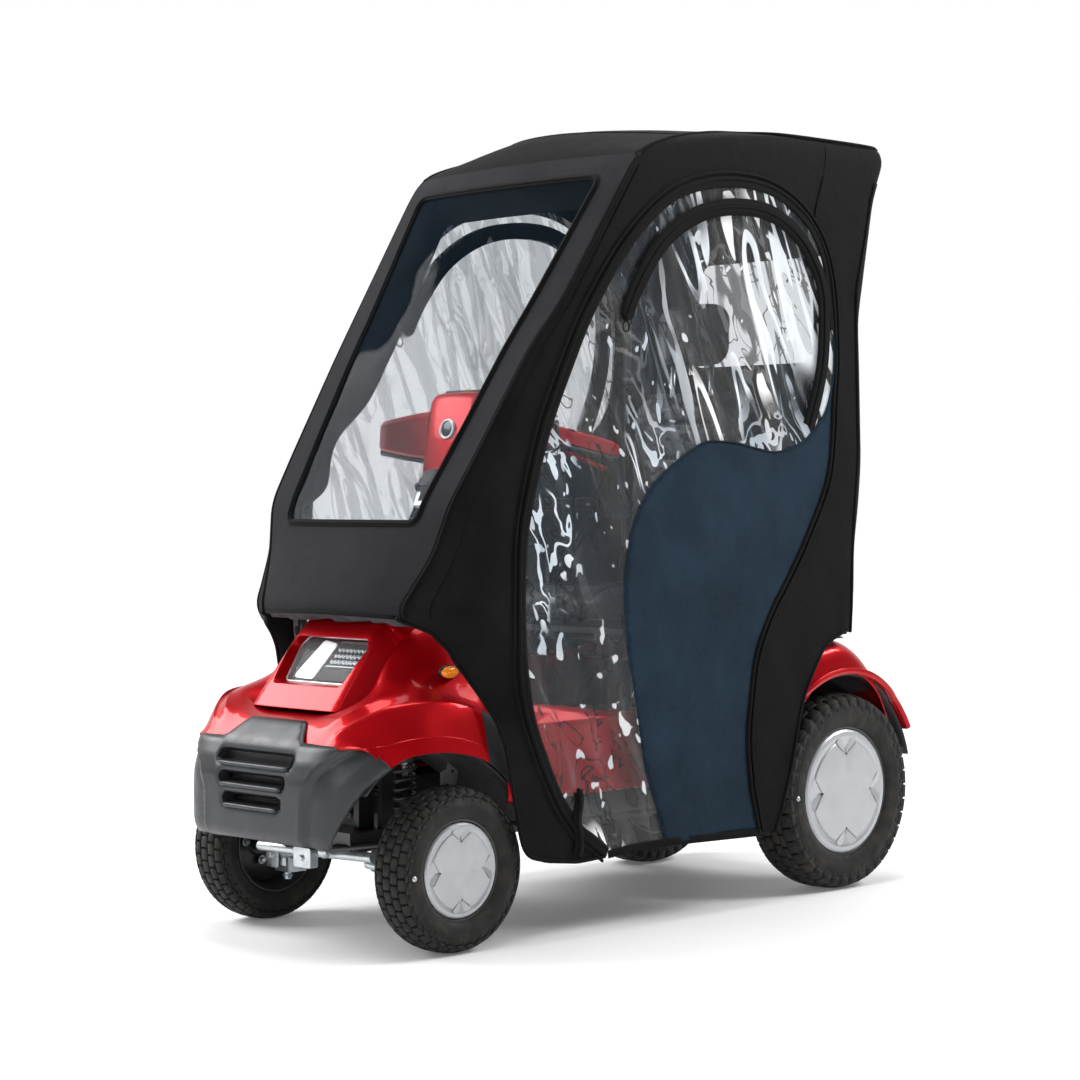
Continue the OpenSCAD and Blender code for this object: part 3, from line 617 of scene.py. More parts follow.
def cut_sheet(outline, holes, step, lift):
    """A fine mesh inside a flat outline with holes. lift maps (u, v, distance from the edge) to a point."""
    loops = [[(p[0], p[1]) for p in even([(*q, 0) for q in loop], step, True)]
             for loop in [outline] + list(holes)]
    us, vs = [p[0] for p in loops[0]], [p[1] for p in loops[0]]
    gu, gv = [], []
    row = 0
    v = min(vs) + step*0.5
    while v < max(vs):
        u = min(us) + (step/2 if row % 2 else 0)
        while u < max(us):
            gu.append(u)
            gv.append(v)
            u += step
        v += step*0.866
        row += 1
    gu, gv = np.array(gu), np.array(gv)
    keep = inside(gu, gv, loops[0]) & (edge_distance(gu, gv, loops) > step*0.55)
    for h in loops[1:]:
        keep &= ~inside(gu, gv, h)
    points = [Vector(p) for loop in loops for p in loop]
    edges, at = [], 0
    for loop in loops:
        edges += [(at + i, at + (i + 1) % len(loop)) for i in range(len(loop))]
        at += len(loop)
    points += [Vector((a, b)) for a, b in zip(gu[keep], gv[keep])]
    flat, _, faces, _, _, _ = delaunay_2d_cdt(points, edges, [], 0, 1e-7)
    f = np.array(faces)
    xy = np.array([(p.x, p.y) for p in flat])
    c = xy[f].mean(1)
    ok = inside(c[:, 0], c[:, 1], loops[0])
    for h in loops[1:]:
        ok &= ~inside(c[:, 0], c[:, 1], h)
    gap = edge_distance(xy[:, 0], xy[:, 1], loops)
    return [Vector(lift(p[0], p[1], d)) for p, d in zip(xy, gap)], [tuple(int(i) for i in t) for t in f[ok]]


# ---------------------------------------------------------------- canopy surface
# height, middle front, corner front, corner half width, side half width, rear. Several heights come from
# the scratch program described above DOOR.
SKIN = [
    (0.146, -0.425, -0.420, 0.352, 0.360, 0.640), (0.430, -0.462, -0.457, 0.340, 0.358, 0.640),
    (0.590, -0.550, -0.540, 0.252, 0.356, 0.640), (0.655, -0.645, -0.615, 0.203, 0.355, 0.650),
    (0.774, -0.592, -0.555, 0.250, 0.353, 0.655), (0.877, -0.538, -0.530, 0.275, 0.350, 0.675),
    (0.965, -0.483, -0.475, 0.285, 0.348, 0.686),
    (1.190, -0.346, -0.335, 0.300, 0.343, 0.686), (1.284, -0.290, -0.265, 0.318, 0.340, 0.686),
    (1.558, -0.124, -0.087, 0.334, 0.336, 0.745), (1.600, -0.097, -0.054, 0.333, 0.335, 0.765),
    (1.620, -0.076, -0.012, 0.329, 0.334, 0.775), (1.640, -0.050, 0.052, 0.322, 0.333, 0.785),
    (1.655, -0.028, 0.118, 0.312, 0.331, 0.788), (1.672, 0.010, 0.240, 0.298, 0.326, 0.786),
    (1.684, 0.090, 0.400, 0.278, 0.312, 0.776), (1.690, 0.190, 0.470, 0.235, 0.255, 0.735),
    (1.693, 0.270, 0.440, 0.110, 0.130, 0.640)]
SKIN_Z = np.array([r[0] for r in SKIN])
SKIN_V = np.array([r[1:] for r in SKIN])
ROOF_Z = 1.598
CORNER, CORNER_RUN = 0.030, 0.055
_levels = {}


def level(z):
    """Middle front, corner front, corner half width, side half width and rear of the canopy at a height."""
    key = round(z, 4)
    if key not in _levels:
        h = min(0.026, max(0.001, (1.690 - z)*0.20))
        zs = np.linspace(z - h, z + h, 9)
        _levels[key] = tuple(float(np.interp(zs, SKIN_Z, SKIN_V[:, k]).mean()) for k in range(5))
    return _levels[key]


def wobble(a, b, c, size=1.0):
    return noise.noise(Vector((a*size, b*size, c*size)))


def side_x(y, z, s=1, ripple=1.0):
    yc, yf, wf, ws, yr = level(z)
    t = clamp((y - yf)/0.15)
    x = wf + (ws - wf)*(1 - (1 - t)**2.5)
    d = yr - y
    if d < CORNER_RUN:
        x -= CORNER*(1 - clamp(d/CORNER_RUN))**3
    mask = smooth(t*1.6)*smooth((1.58 - z)/0.12)*smooth((d - 0.01)/0.08)
    x += ripple*mask*(0.0045*wobble(y*5, z*2.5, s*3.1) + 0.0020*wobble(y*15 + z*4, z*6, s*7.7))
    return x


def front_y(x, z):
    yc, yf, wf, ws, yr = level(z)
    t = clamp(abs(x)/wf)
    mask = smooth((1 - t)*5)*smooth((z - 0.66)/0.05)*smooth((1.58 - z)/0.05)
    return yc + (yf - yc)*t**2.2 + mask*0.0022*wobble(x*7, z*5, 2.2)


def on_side(s, off=0.0, ripple=1.0):
    """Maps (y, z) to a point off outside the side of the canopy."""
    return lambda y, z, d=0.0: (s*(side_x(y, z, s, ripple) + off), y, z)


def on_front(off=0.0):
    def place(x, z, d=0.0):
        return (x, front_y(x, z) - off*0.85, z + off*0.5)
    return place


def band(points, width, place, lift_off):
    """A strip of cloth along a flat line, laid on a surface given by place(off)(u, v)."""
    ps = [Vector((p[0], p[1])) for p in points]
    n = len(ps)
    vs, fs = [], []
    low, high = place(0.0003), place(lift_off)
    for i, p in enumerate(ps):
        d = (ps[min(i + 1, n - 1)] - ps[max(i - 1, 0)]).normalized()
        m = Vector((-d.y, d.x))
        w = width[i] if isinstance(width, list) else width
        for k, (f, h) in enumerate(((-0.5, 0), (-0.5, 1), (-0.2, 1), (0.2, 1), (0.5, 1), (0.5, 0))):
            q = p + m*w*f
            vs.append(Vector((high if h else low)(q.x, q.y)))
    for i in range(n - 1):
        for k in range(5):
            fs.append((i*6 + k, i*6 + k + 1, (i + 1)*6 + k + 1, (i + 1)*6 + k))
    return vs, fs


CREASE = [(-0.610, 0.650), (-0.550, 0.774), (-0.525, 0.877), (-0.470, 0.965), (-0.330, 1.190),
          (-0.260, 1.284), (-0.082, 1.558), (-0.055, 1.600)]
LOWER_FRONT = [(-0.530, 0.590), (-0.455, 0.440), (-0.425, 0.300), (-0.400, 0.190), (-0.345, 0.164)]
LOWER_REAR = [(0.368, 0.205), (0.404, 0.307), (0.448, 0.445), (0.520, 0.548), (0.585, 0.581)]
REAR_LINE = [(0.620, 0.581), (0.622, 0.700), (0.632, 0.832), (0.652, 0.991), (0.654, 1.218), (0.656, 1.353),
             (0.690, 1.470), (0.712, 1.558), (0.730, 1.600)]
# DOOR, NAVY_TOP and ZIP are mostly numbers printed by a scratch program, which carried places picked by eye
# in the photograph back through the fitted camera. They have more points than the shapes need. Heights in
# SKIN, CREASE and REAR_LINE come from it too. See "open breach" in report.md.
DOOR = [(-0.182, 0.159), (-0.226, 0.190), (-0.263, 0.215), (-0.319, 0.283), (-0.379, 0.407),
        (-0.406, 0.508),
        (-0.417, 0.607), (-0.416, 0.725), (-0.405, 0.823), (-0.377, 0.922), (-0.335, 1.031),
        (-0.278, 1.142),
        (-0.207, 1.265), (-0.119, 1.382), (-0.030, 1.470), (0.062, 1.529), (0.187, 1.563), (0.317, 1.567),
        (0.416, 1.544), (0.502, 1.490), (0.553, 1.412), (0.574, 1.302), (0.574, 1.190), (0.563, 1.100),
        (0.555, 1.012), (0.535, 0.922), (0.486, 0.834), (0.411, 0.725), (0.343, 0.640), (0.294, 0.555),
        (0.267, 0.448), (0.257, 0.362), (0.267, 0.254), (0.293, 0.160)]
NAVY_TOP = [(0.572, 1.250), (0.566, 1.160), (0.540, 1.080), (0.492, 1.032), (0.449, 1.004), (0.371, 0.984),
            (0.299, 0.991), (0.230, 1.002), (0.144, 1.004), (0.091, 0.985), (0.014, 0.943), (-0.047, 0.891),
            (-0.092, 0.819), (-0.113, 0.737), (-0.116, 0.676), (-0.108, 0.573), (-0.087, 0.469),
            (-0.064, 0.343), (-0.034, 0.258), (-0.004, 0.168)]
ZIP = [(-0.106, 1.248), (-0.082, 1.298), (-0.043, 1.356), (0.009, 1.415), (0.079, 1.463), (0.158, 1.494),
       (0.254, 1.508), (0.352, 1.502), (0.436, 1.467), (0.493, 1.413), (0.528, 1.344), (0.531, 1.256),
       (0.522, 1.180), (0.500, 1.110), (0.470, 1.040)]


def flat(points, n=6, closed=False):
    return [(p.x, p.y) for p in curve([(*q, 0) for q in points], n, closed)]


def crease_line():
    out = []
    z = 0.650
    while z < ROOF_Z - 1e-6:
        out.append((level(z)[1], z))
        z += 0.011
    out.append((level(ROOF_Z)[1], ROOF_Z))
    return out


def rear_line_y(z):
    return float(np.interp(z, [p[1] for p in REAR_LINE], [p[0] for p in REAR_LINE]))


door_line = flat(DOOR[:-1], 5) + [DOOR[-1]]
navy_line = flat(NAVY_TOP, 5)
crease = crease_line()
top_line = [(lerp(level(ROOF_Z)[1], 0.730, k/60), ROOF_Z) for k in range(1, 60)]
rear_line = [(rear_line_y(z), z) for z in np.linspace(ROOF_Z, 0.581, 60)]
lower_rear = list(reversed(flat(LOWER_REAR, 6)))
lower_front = list(reversed(flat(LOWER_FRONT, 6)))
corner_bottom = [(-0.560, 0.622), (-0.590, 0.640)]


def canopy_side(s):
    side = "left" if s > 0 else "right"
    # black side cloth: everything round the door
    lift = on_side(s)
    # two pieces, ahead of and behind the door, joined over its top: a hole open at the hem
    outline = crease + top_line + rear_line + lower_rear + [(0.345, 0.158), (0.310, 0.1585)]
    outline += list(reversed(door_line))
    outline += [(-0.190, 0.158), (-0.225, 0.1555), (-0.260, 0.154)] + lower_front + corner_bottom
    vs, fs = cut_sheet(outline, [], 0.014, lift)
    if s < 0:
        fs = [tuple(reversed(f)) for f in fs]
    o = piece(f"canopy_side_cloth_{side}", [(vs, fs)], FABRIC, "chassis", "canopy_fabric", thick=0.0022,
              swaps=("canopy_side_" + side,))
    trims = []
    # double piping along the front corner seam, the door opening and every hem
    for line, off, r in (([(y + 0.004, z) for y, z in crease], 0.0015, 0.0036),
                         ([(y + 0.028, z) for y, z in crease[:-3]], 0.0008, 0.0016)):
        trims.append(tube([on_side(s, off)(y, z) for y, z in even2(line, 0.012)], r, 8))
    for shift, r in ((0.0, 0.0050), (0.013, 0.0036)):
        trims.append(tube([on_side(s, 0.0012)(y, z) for y, z in grow(door_line, shift, 0.010)], r, 8))
    hem_line = even2([(0.596, 0.581)] + lower_rear + [(0.345, 0.158)], 0.012)
    trims.append(tube([on_side(s, 0.0)(y, z) for y, z in hem_line], 0.0042, 8))
    front_hem = even2([(-0.182, 0.157), (-0.260, 0.154)] + lower_front + corner_bottom
                      + [(-0.612, 0.652)], 0.012)
    trims.append(tube([on_side(s, 0.0)(y, z) for y, z in front_hem], 0.0042, 8))
    roof_seam = even2([(0.545, ROOF_Z), (0.520, 1.535), (0.512, 1.502)], 0.012)
    trims.append(tube([on_side(s, 0.0012)(y, z) for y, z in roof_seam], 0.0022, 6))
    if s < 0:
        trims = [(v, [tuple(reversed(f)) for f in fs]) for v, fs in trims]
    t = piece(f"canopy_side_piping_{side}", trims, BINDING, "chassis", "canopy_fabric")
    return o


def even2(points, step):
    return [(p.x, p.y) for p in even([(*q, 0) for q in points], step)]


def grow(points, shift, step):
    """The line moved outward by shift, to the left of its travel."""
    ps = [Vector((p.x, p.y)) for p in even([(*q, 0) for q in points], step)]
    out = []
    for i, p in enumerate(ps):
        d = (ps[min(i + 1, len(ps) - 1)] - ps[max(i - 1, 0)]).normalized()
        out.append((p.x - d.y*shift, p.y + d.x*shift))
    return out


def pvc_place(s):
    """The clear sheet: waves that fade out at its seams."""
    base = on_side(s, -0.001, 0.0)

    def place(y, z, d):
        x, y0, z0 = base(y, z)
        free = smooth(d/0.09)
        q = y + 0.26*z
        h = 0.0075*wobble(q*11, z*1.5, 4.4 + s) + 0.0045*wobble(q*24, z*3.2, 8.8 + s)
        h += 0.0050*wobble(y*9, z*7, 1.3 + s)*smooth((1.15 - z)/0.4)
        ridge = abs(wobble(q*16 + 3, z*2.4, 12.1 + s))
        h += 0.0050*max(0.0, 0.25 - ridge)/0.25
        return (x + s*free*h*0.9 - s*0.003*free, y0, z0)
    return place


def door(s):
    side = "left" if s > 0 else "right"
    flap = "flap_" + side
    # split the door outline where the navy panel starts, behind, and ends, at the hem
    k = min(range(len(door_line)),
            key=lambda i: abs(door_line[i][1] - 1.250) + (9 if door_line[i][0] < 0.4 else 0))
    ahead = door_line[:k + 1]
    behind = door_line[k:]
    pvc_loop = ahead + navy_line[1:] + [(-0.060, 0.172), (-0.120, 0.166)]
    navy_loop = behind + [(0.230, 0.163), (0.120, 0.165)] + list(reversed(navy_line[1:]))
    vs, fs = cut_sheet(pvc_loop, [], 0.0085, pvc_place(s))
    if s < 0:
        fs = [tuple(reversed(f)) for f in fs]
    pane = piece(f"door_clear_{side}", [(vs, fs)], PVC if s > 0 else PVC_FAR, flap, "clear_pane",
                 swaps=("door_" + side,))
    vs, fs = cut_sheet(navy_loop, [], 0.013, on_side(s, 0.0005))
    if s < 0:
        fs = [tuple(reversed(f)) for f in fs]
    navy = piece(f"door_panel_{side}", [(vs, fs)], NAVY, flap, "door_fabric", thick=0.0020)
    trims = []
    arch = even2(flat(ZIP, 5), 0.010)
    n = len(arch)
    wide = [0.037*math.sqrt(clamp(0.12 + i/2.2)) for i in range(n)]
    trims.append(band(arch, wide, lambda off: on_side(s, off + 0.0060, 0.0), 0.0030))
    trims.append(tube([on_side(s, 0.0100, 0.0)(y, z) for y, z in arch], 0.0019, 6))
    for shift in (0.0155, -0.0155):
        trims.append(tube([on_side(s, 0.0088, 0.0)(y, z) for y, z in grow(arch, shift, 0.010)], 0.0009, 6))
    trims.append(band(arch, wide, lambda off: on_side(s, off - 0.0085, 0.0), 0.0022))
    seam = [tube([on_side(s, 0.0014)(y, z) for y, z in even2(navy_line, 0.010)], 0.0016, 6)]
    inner = grow(ahead, -0.010, 0.010)
    trims.append(band(inner, 0.018, lambda off: on_side(s, off + 0.0005, 0.0), 0.0024))
    hem_line = even2([(-0.176, 0.160), (-0.110, 0.166), (0.000, 0.168), (0.120, 0.165), (0.240, 0.162),
                      (0.292, 0.161)],
                     0.010)
    trims.append(band(hem_line, 0.016, lambda off: on_side(s, off, 0.0), 0.0030))
    # pull tab of the zip, its ring, and the puller at the bottom corner
    if s < 0:
        trims = [(v, [tuple(reversed(f)) for f in fs2]) for v, fs2 in trims]
        seam = [(v, [tuple(reversed(f)) for f in fs2]) for v, fs2 in seam]
    zx = side_x(-0.1, 1.26, s, 0)
    ring = [Vector((s*(zx + 0.012), -0.108 + 0.009*math.cos(t), 1.236 + 0.011*math.sin(t)))
            for t in np.linspace(0, 2*pi, 17)[:-1]]
    trims.append(tube(ring, 0.0016, 6, closed=True))
    trims.append(tube([(s*(zx + 0.011), -0.104, 1.262), (s*(zx + 0.012), -0.107, 1.247)], 0.0035, 8))
    t = piece(f"door_trim_{side}", trims, BINDING, flap, "canopy_fabric")
    piece(f"door_panel_seam_{side}", seam, NAVY, flap, "door_fabric")
    # strap with its own short zip, on the fixed cloth ahead of the door
    ys, z0, z1 = -0.262, 0.298, 0.168
    strap = [(ys + 0.004*math.sin(k), lerp(z0, z1, k/10)) for k in range(11)]
    parts = [band(strap, 0.024, lambda off: on_side(s, off + 0.002), 0.0035)]
    parts.append(tube([on_side(s, 0.008)(y, z) for y, z in strap[1:]], 0.0016, 6))
    if s < 0:
        parts = [(v, [tuple(reversed(f)) for f in fs2]) for v, fs2 in parts]
    px = side_x(ys, 0.30, s)
    parts.append(tube([(s*(px + 0.008), ys - 0.004, 0.303), (s*(px + 0.010), ys, 0.288),
                       (s*(px + 0.010), ys + 0.002, 0.262)],
                      [0.0045, 0.0050, 0.0030], 8))
    piece(f"canopy_strap_{side}", parts, BINDING, "chassis", "canopy_fabric")


def canopy_front():
    """Front cloth with the windscreen let into it."""
    left = [(level(z)[2], z) for _, z in crease]
    outline = left + [(lerp(left[-1][0], -left[-1][0], k/40), ROOF_Z) for k in range(1, 40)]
    outline += [(-x, z) for x, z in reversed(left)]
    outline += [(lerp(-left[0][0], left[0][0], k/24), 0.650 + 0.006*math.sin(pi*k/24))
                for k in range(1, 24)]
    hole = rounded([(-0.202, 0.836), (0.202, 0.836), (0.280, 1.550), (-0.280, 1.550)], 0.020)
    vs, fs = cut_sheet(outline, [hole], 0.014, on_front())
    cloth = piece("canopy_front_cloth", [(vs, fs)], PAINTED_LIT_FRONT_FABRIC, "chassis", "canopy_fabric", thick=0.0025,
                  swaps=("canopy_front", "windscreen"))
    vs, fs = cut_sheet(hole, [], 0.020, on_front(-0.0015))
    screen = piece("windscreen_pane", [(vs, fs)], SCREEN, "chassis", "clear_pane")
    loop = even([(*p, 0) for p in hole], 0.012, True)
    loop = [(p.x, p.y) for p in loop]
    parts = [band(loop + loop[:2], 0.013, lambda off: on_front(off), 0.0026),
             tube([on_front(0.0032)(x, z) for x, z in loop], 0.0032, 8, closed=True)]
    inner = [on_front(-0.002)(x, z) for x, z in loop]
    # fabric sleeve round the frame's pillars, deep at the sides and top, held back where the tiller turns
    deep = []
    for x, z in loop:
        d = 0.012 + 0.078*smooth((z - 0.840)/0.120) - 0.045*math.exp(-((z - 1.02)/0.085)**2)
        deep.append(on_front(-d)(x*0.985, z - 0.010*smooth((z - 1.4)/0.12)))
    parts.append(loft([inner + inner[:1], deep + deep[:1]], closed=False, caps=False))
    bottom = [(lerp(-0.203, 0.203, k/30), 0.652 + 0.006*math.sin(pi*k/30)) for k in range(31)]
    parts.append(tube([on_front(0.001)(x, z) for x, z in bottom], 0.0040, 8))
    trim = piece("windscreen_seal", parts, BINDING, "chassis", "canopy_fabric")
    # light lining turned up inside the front hem
    rings = []
    for k in range(31):
        x = lerp(-0.205, 0.205, k/30)
        y = front_y(x, 0.656)
        z = 0.652 + 0.006*math.sin(pi*k/30)
        sag = 0.004*math.sin(k*1.7) + 0.003*math.sin(k*0.61)
        rings.append([(x, y + 0.004, z), (x, y + 0.016, z - 0.012 + sag), (x, y + 0.055, z - 0.014 + sag),
                      (x, y + 0.095, z - 0.002)])
    lining = piece("canopy_front_lining", [loft(rings, closed=False, caps=False)], LINING, "chassis",
                   "canopy_fabric", thick=0.0015)


def rounded(corners, r, n=6):
    """A polygon with its corners rounded off."""
    out = []
    m = len(corners)
    for i in range(m):
        p = Vector(corners[i])
        a = (Vector(corners[i - 1]) - p).normalized()
        b = (Vector(corners[(i + 1) % m]) - p).normalized()
        half = a.angle(b)/2
        d = r/math.tan(half)
        c = p + (a + b).normalized()*(r/math.sin(half))
        p0, p1 = p + a*d, p + b*d
        for k in range(n + 1):
            q = (p0 - c).lerp(p1 - c, k/n).normalized()*r + c
            out.append((q.x, q.y))
    return out


def rear_point(u, z):
    """Round the back of the canopy: u 0 at the middle, 1 at the side seam."""
    yc, yf, wf, ws, yr = level(z)
    corner = ws - CORNER
    if u < 0.8:
        x = corner*u/0.8
        return (x, yr + 0.008*(1 - (x/corner)**2) + 0.0015*wobble(x*7, z*6, 5.5), z)
    y = lerp(yr, rear_line_y(z), (u - 0.8)/0.2)
    return (side_x(y, z, 1, 0.0), y, z)


def canopy_rear():
    us = [0, 0.08, 0.16, 0.24, 0.32, 0.40, 0.48, 0.53, 0.58, 0.64, 0.70, 0.75, 0.80, 0.83, 0.86, 0.90,
          0.95, 1.0]
    zs = list(np.linspace(0.581, 1.180, 26)) + list(np.linspace(1.180, 1.460, 13))[1:] + list(
        np.linspace(1.460, ROOF_Z, 9))[1:]
    row = [(-1, u) for u in reversed(us[1:])] + [(1, u) for u in us]
    vs = []
    for z in zs:
        for s, u in row:
            x, y, zz = rear_point(u, z)
            vs.append(Vector((s*x, y, zz)))
    n = len(row)
    cloth, pane = [], []
    for k in range(len(zs) - 1):
        for i in range(n - 1):
            f = (k*n + i, k*n + i + 1, (k + 1)*n + i + 1, (k + 1)*n + i)
            mid = sum((vs[j] for j in f), Vector())/4
            (pane if abs(mid.x) < 0.205 and 1.180 < mid.z < 1.460 else cloth).append(f)
    o = piece("canopy_rear_cloth", [(vs, cloth)], FABRIC, "chassis", "canopy_fabric", thick=0.0022,
              swaps=("canopy_rear", "rear_window"))
    w = piece("rear_window_pane", [([v - Vector((0, 0.0015, 0)) for v in vs], pane)], SCREEN, "chassis",
              "clear_pane")
    hole = rounded([(-0.200, 1.186), (0.200, 1.186), (0.200, 1.454), (-0.200, 1.454)], 0.03)
    loop = [(p.x, p.y) for p in even([(*p, 0) for p in hole], 0.012, True)]

    def at(off):
        def place(x, z):
            yc, yf, wf, ws, yr = level(z)
            return (x, yr + 0.008*(1 - (x/(ws - CORNER))**2) + off, z)
        return place
    parts = [band(loop + loop[:2], 0.020, lambda off: at(off + 0.0015), 0.0035)]
    seam = [rear_point(1.0, z) for z in np.linspace(0.585, ROOF_Z, 90)]
    for s in (1, -1):
        parts.append(tube([(s*(x + 0.001), y, z) for x, y, z in seam], 0.0034, 8))
    hem_pts = [rear_point(u, 0.583) for u in us]
    hem_pts = [(-x, y, z) for x, y, z in reversed(hem_pts)] + hem_pts[1:]
    parts.append(tube(hem_pts, 0.0042, 8))
    t = piece("canopy_rear_piping", parts, BINDING, "chassis", "canopy_fabric")


def roof_ring(z, n=26):
    yc, yf, wf, ws, yr = level(z)
    run = min(0.15, (yr - CORNER_RUN - yf)*0.6)
    pts = [(wf*k/n, yc + (yf - yc)*(k/n)**2.2) for k in range(n)]
    pts += [(wf + (ws - wf)*(1 - (1 - t)**2.5), yf + run*t) for t in np.linspace(0, 1, 8)[:-1]]
    pts += [(ws, y) for y in np.linspace(yf + run, yr - CORNER_RUN, n)[:-1]]
    pts += [(ws - CORNER*(1 - clamp((yr - y)/CORNER_RUN))**3, y)
            for y in np.linspace(yr - CORNER_RUN, yr, 9)[:-1]]
    c = ws - CORNER
    pts += [(x, yr + 0.008*(1 - (x/c)**2)) for x in np.linspace(c, 0, n)]
    loop = pts + [(-x, y) for x, y in reversed(pts[1:-1])]
    return [(x, y, z) for x, y in loop]


def canopy_roof():
    zs = list(np.linspace(ROOF_Z, 1.640, 7)) + list(np.linspace(1.640, 1.672, 8))[1:] + list(
        np.linspace(1.672, 1.690, 8))[1:] + [1.6915, 1.693]
    rings = [roof_ring(z) for z in zs]
    c = Vector((0, 0.42, 1.6935))
    for f in (0.66, 0.33):
        rings.append([tuple(c.lerp(Vector(p), f)) for p in rings[len(zs) - 1]])
    vs, fs = loft(rings, caps=False)
    n = len(rings[0])
    at = len(vs)
    vs.append(c)
    fs += [((len(rings) - 1)*n + i, (len(rings) - 1)*n + (i + 1) % n, at) for i in range(n)]
    vs = [Vector((v.x, v.y, v.z + 0.0016*wobble(v.x*6, v.y*6, 3.3)*smooth((v.z - 1.672)/0.01))) for v in vs]
    o = piece("canopy_roof_cloth", [(vs, fs)], FABRIC, "chassis", "canopy_fabric", thick=0.0025,
              swaps=("canopy_roof",))
    parts = []
    edge = [(level(z)[2], level(z)[1], z) for z in (1.598, 1.612, 1.626, 1.640, 1.652, 1.662, 1.670, 1.678)]
    edge += [(0.315, 0.420, 1.6820), (0.318, 0.600, 1.6832), (0.318, 0.730, 1.6822), (0.300, 0.778, 1.6805)]
    line = curve(edge, 6)
    back_edge = [(x, 0.780 + 0.008*(1 - (x/0.3)**2), 1.6800) for x in np.linspace(0.300, -0.300, 24)]
    for s in (1, -1):
        parts.append(tube([(s*p.x, p.y, p.z) for p in line], 0.0034, 8))
        seam = [(0.3335, 0.545, ROOF_Z), (0.3330, 0.556, 1.640), (0.3250, 0.562, 1.670),
                (0.305, 0.565, 1.684),
                (0.255, 0.565, 1.6892)]
        parts.append(tube([(s*p.x, p.y, p.z) for p in curve(seam, 5)], 0.0018, 6))
    parts.append(tube(back_edge, 0.0034, 8))
    # seam between the front panel and the roof
    cross = []
    for x in np.linspace(-0.310, 0.310, 41):
        z = 1.6535 + 0.018*(1 - (x/0.31)**2)
        yc, yf, wf, ws, yr = level(z)
        cross.append((x, yc + (yf - yc)*(abs(x)/wf)**2.2 - 0.0006, z))
    parts.append(tube(cross, 0.0016, 6))
    t = piece("canopy_roof_piping", parts, BINDING, "chassis", "canopy_fabric")


for s in (1, -1):
    canopy_side(s)
    door(s)
canopy_front()
canopy_rear()
canopy_roof()


# ---------------------------------------------------------------- wheels
def crown(x, r, h):
    """Radius of the tread across its width."""
    return r - 0.013*clamp(abs(x)/h)**3.4


def tread(r, h, pitches, shapes, depth, at):
    """Raised tread blocks: each shape is a convex outline of (share of a pitch, place across) points."""
    vs, fs = [], []
    step = 2*pi/pitches
    for k in range(pitches):
        for shape in shapes:
            n = len(shape)
            base = len(vs)
            mid = [sum(p[i] for p in shape)/n for i in (0, 1)]
            for f, drop in ((1.06, depth), (1.0, 0.0012), (0.90, 0.0)):
                for u, x in shape:
                    uu, xx = mid[0] + (u - mid[0])*f, mid[1] + (x - mid[1])*f
                    rr = crown(xx, r, h) - drop
                    a = (k + uu)*step
                    vs.append(Vector(at(xx, rr*math.cos(a), rr*math.sin(a))))
            for ring in range(2):
                for i in range(n):
                    j = (i + 1) % n
                    a, b = base + ring*n, base + (ring + 1)*n
                    fs.append((a + i, a + j, b + j, b + i))
            fs.append(tuple(base + 2*n + i for i in range(n)))
    return vs, fs


def hub_face(r, at):
    """Flat cover with a raised four-lobed middle cut by V notches."""
    plate = []
    for q in range(4):
        base = q*pi/2
        tip = (0.60*r, 0.0)
        pts = [tip, (0.79*r, 0.265*r)]
        a0 = math.atan2(0.265, 0.79)
        ra = math.hypot(0.265, 0.79)*r
        for k in range(1, 12):
            a = a0 + (pi/2 - 2*a0)*k/12
            pts.append((ra*(1 - 0.015*math.sin(pi*k/12))*math.cos(a),
                        ra*(1 - 0.015*math.sin(pi*k/12))*math.sin(a)))
        pts.append((0.265*r, 0.79*r))
        for x, y in pts:
            plate.append((x*math.cos(base) - y*math.sin(base), x*math.sin(base) + y*math.cos(base)))
    n = len(plate)
    rings = []
    for f, h in ((1.012, -0.0035), (1.0, 0.0012), (0.975, 0.0030), (0.80, 0.0036), (0.45, 0.0044),
                 (0.12, 0.0046)):
        rings.append([at(h, x*f, y*f) for x, y in plate])
    body = loft(rings, caps=False)
    body[1].append(tuple(len(body[0]) - n + i for i in range(n)))
    disc = lathe([(0.0, -0.0030), (0.60*r, -0.0030), (0.865*r, 0.0006), (0.90*r, 0.0016), (0.965*r, 0.0012),
                  (r, -0.0020), (r, -0.012)], at, 96)
    holes, facets = [], []
    for q in range(4):
        c, s = math.cos(q*pi/2), math.sin(q*pi/2)
        centre = (0.592*r*c, 0.592*r*s)
        # painted shade: each hole is a short black plug with a closed top, dark where the real hole shows
        # only shade
        ring = [at(0.0030, centre[0] + 0.024*r*math.cos(t), centre[1] + 0.024*r*math.sin(t))
                for t in np.linspace(0, 2*pi, 13)[:-1]]
        low = [at(-0.001, centre[0] + 0.024*r*math.cos(t), centre[1] + 0.024*r*math.sin(t))
               for t in np.linspace(0, 2*pi, 13)[:-1]]
        holes.append(loft([low, ring]))
        for m in (1, -1):
            tri = [(0.615, 0.008*m), (0.80, 0.255*m), (0.86, 0.215*m), (0.868, 0.10*m), (0.74, 0.012*m)]
            tri = [((x*c - y*s)*r, (x*s + y*c)*r) for x, y in tri]
            hs = (0.0002, 0.0026, 0.0018, 0.0008, -0.0016)
            facets.append(([Vector(at(h, x, y)) for (x, y), h in zip(tri, hs)],
                           [tuple(range(5))] if m > 0 else [tuple(range(4, -1, -1))]))
    return body, disc, join(*holes), join(*facets)


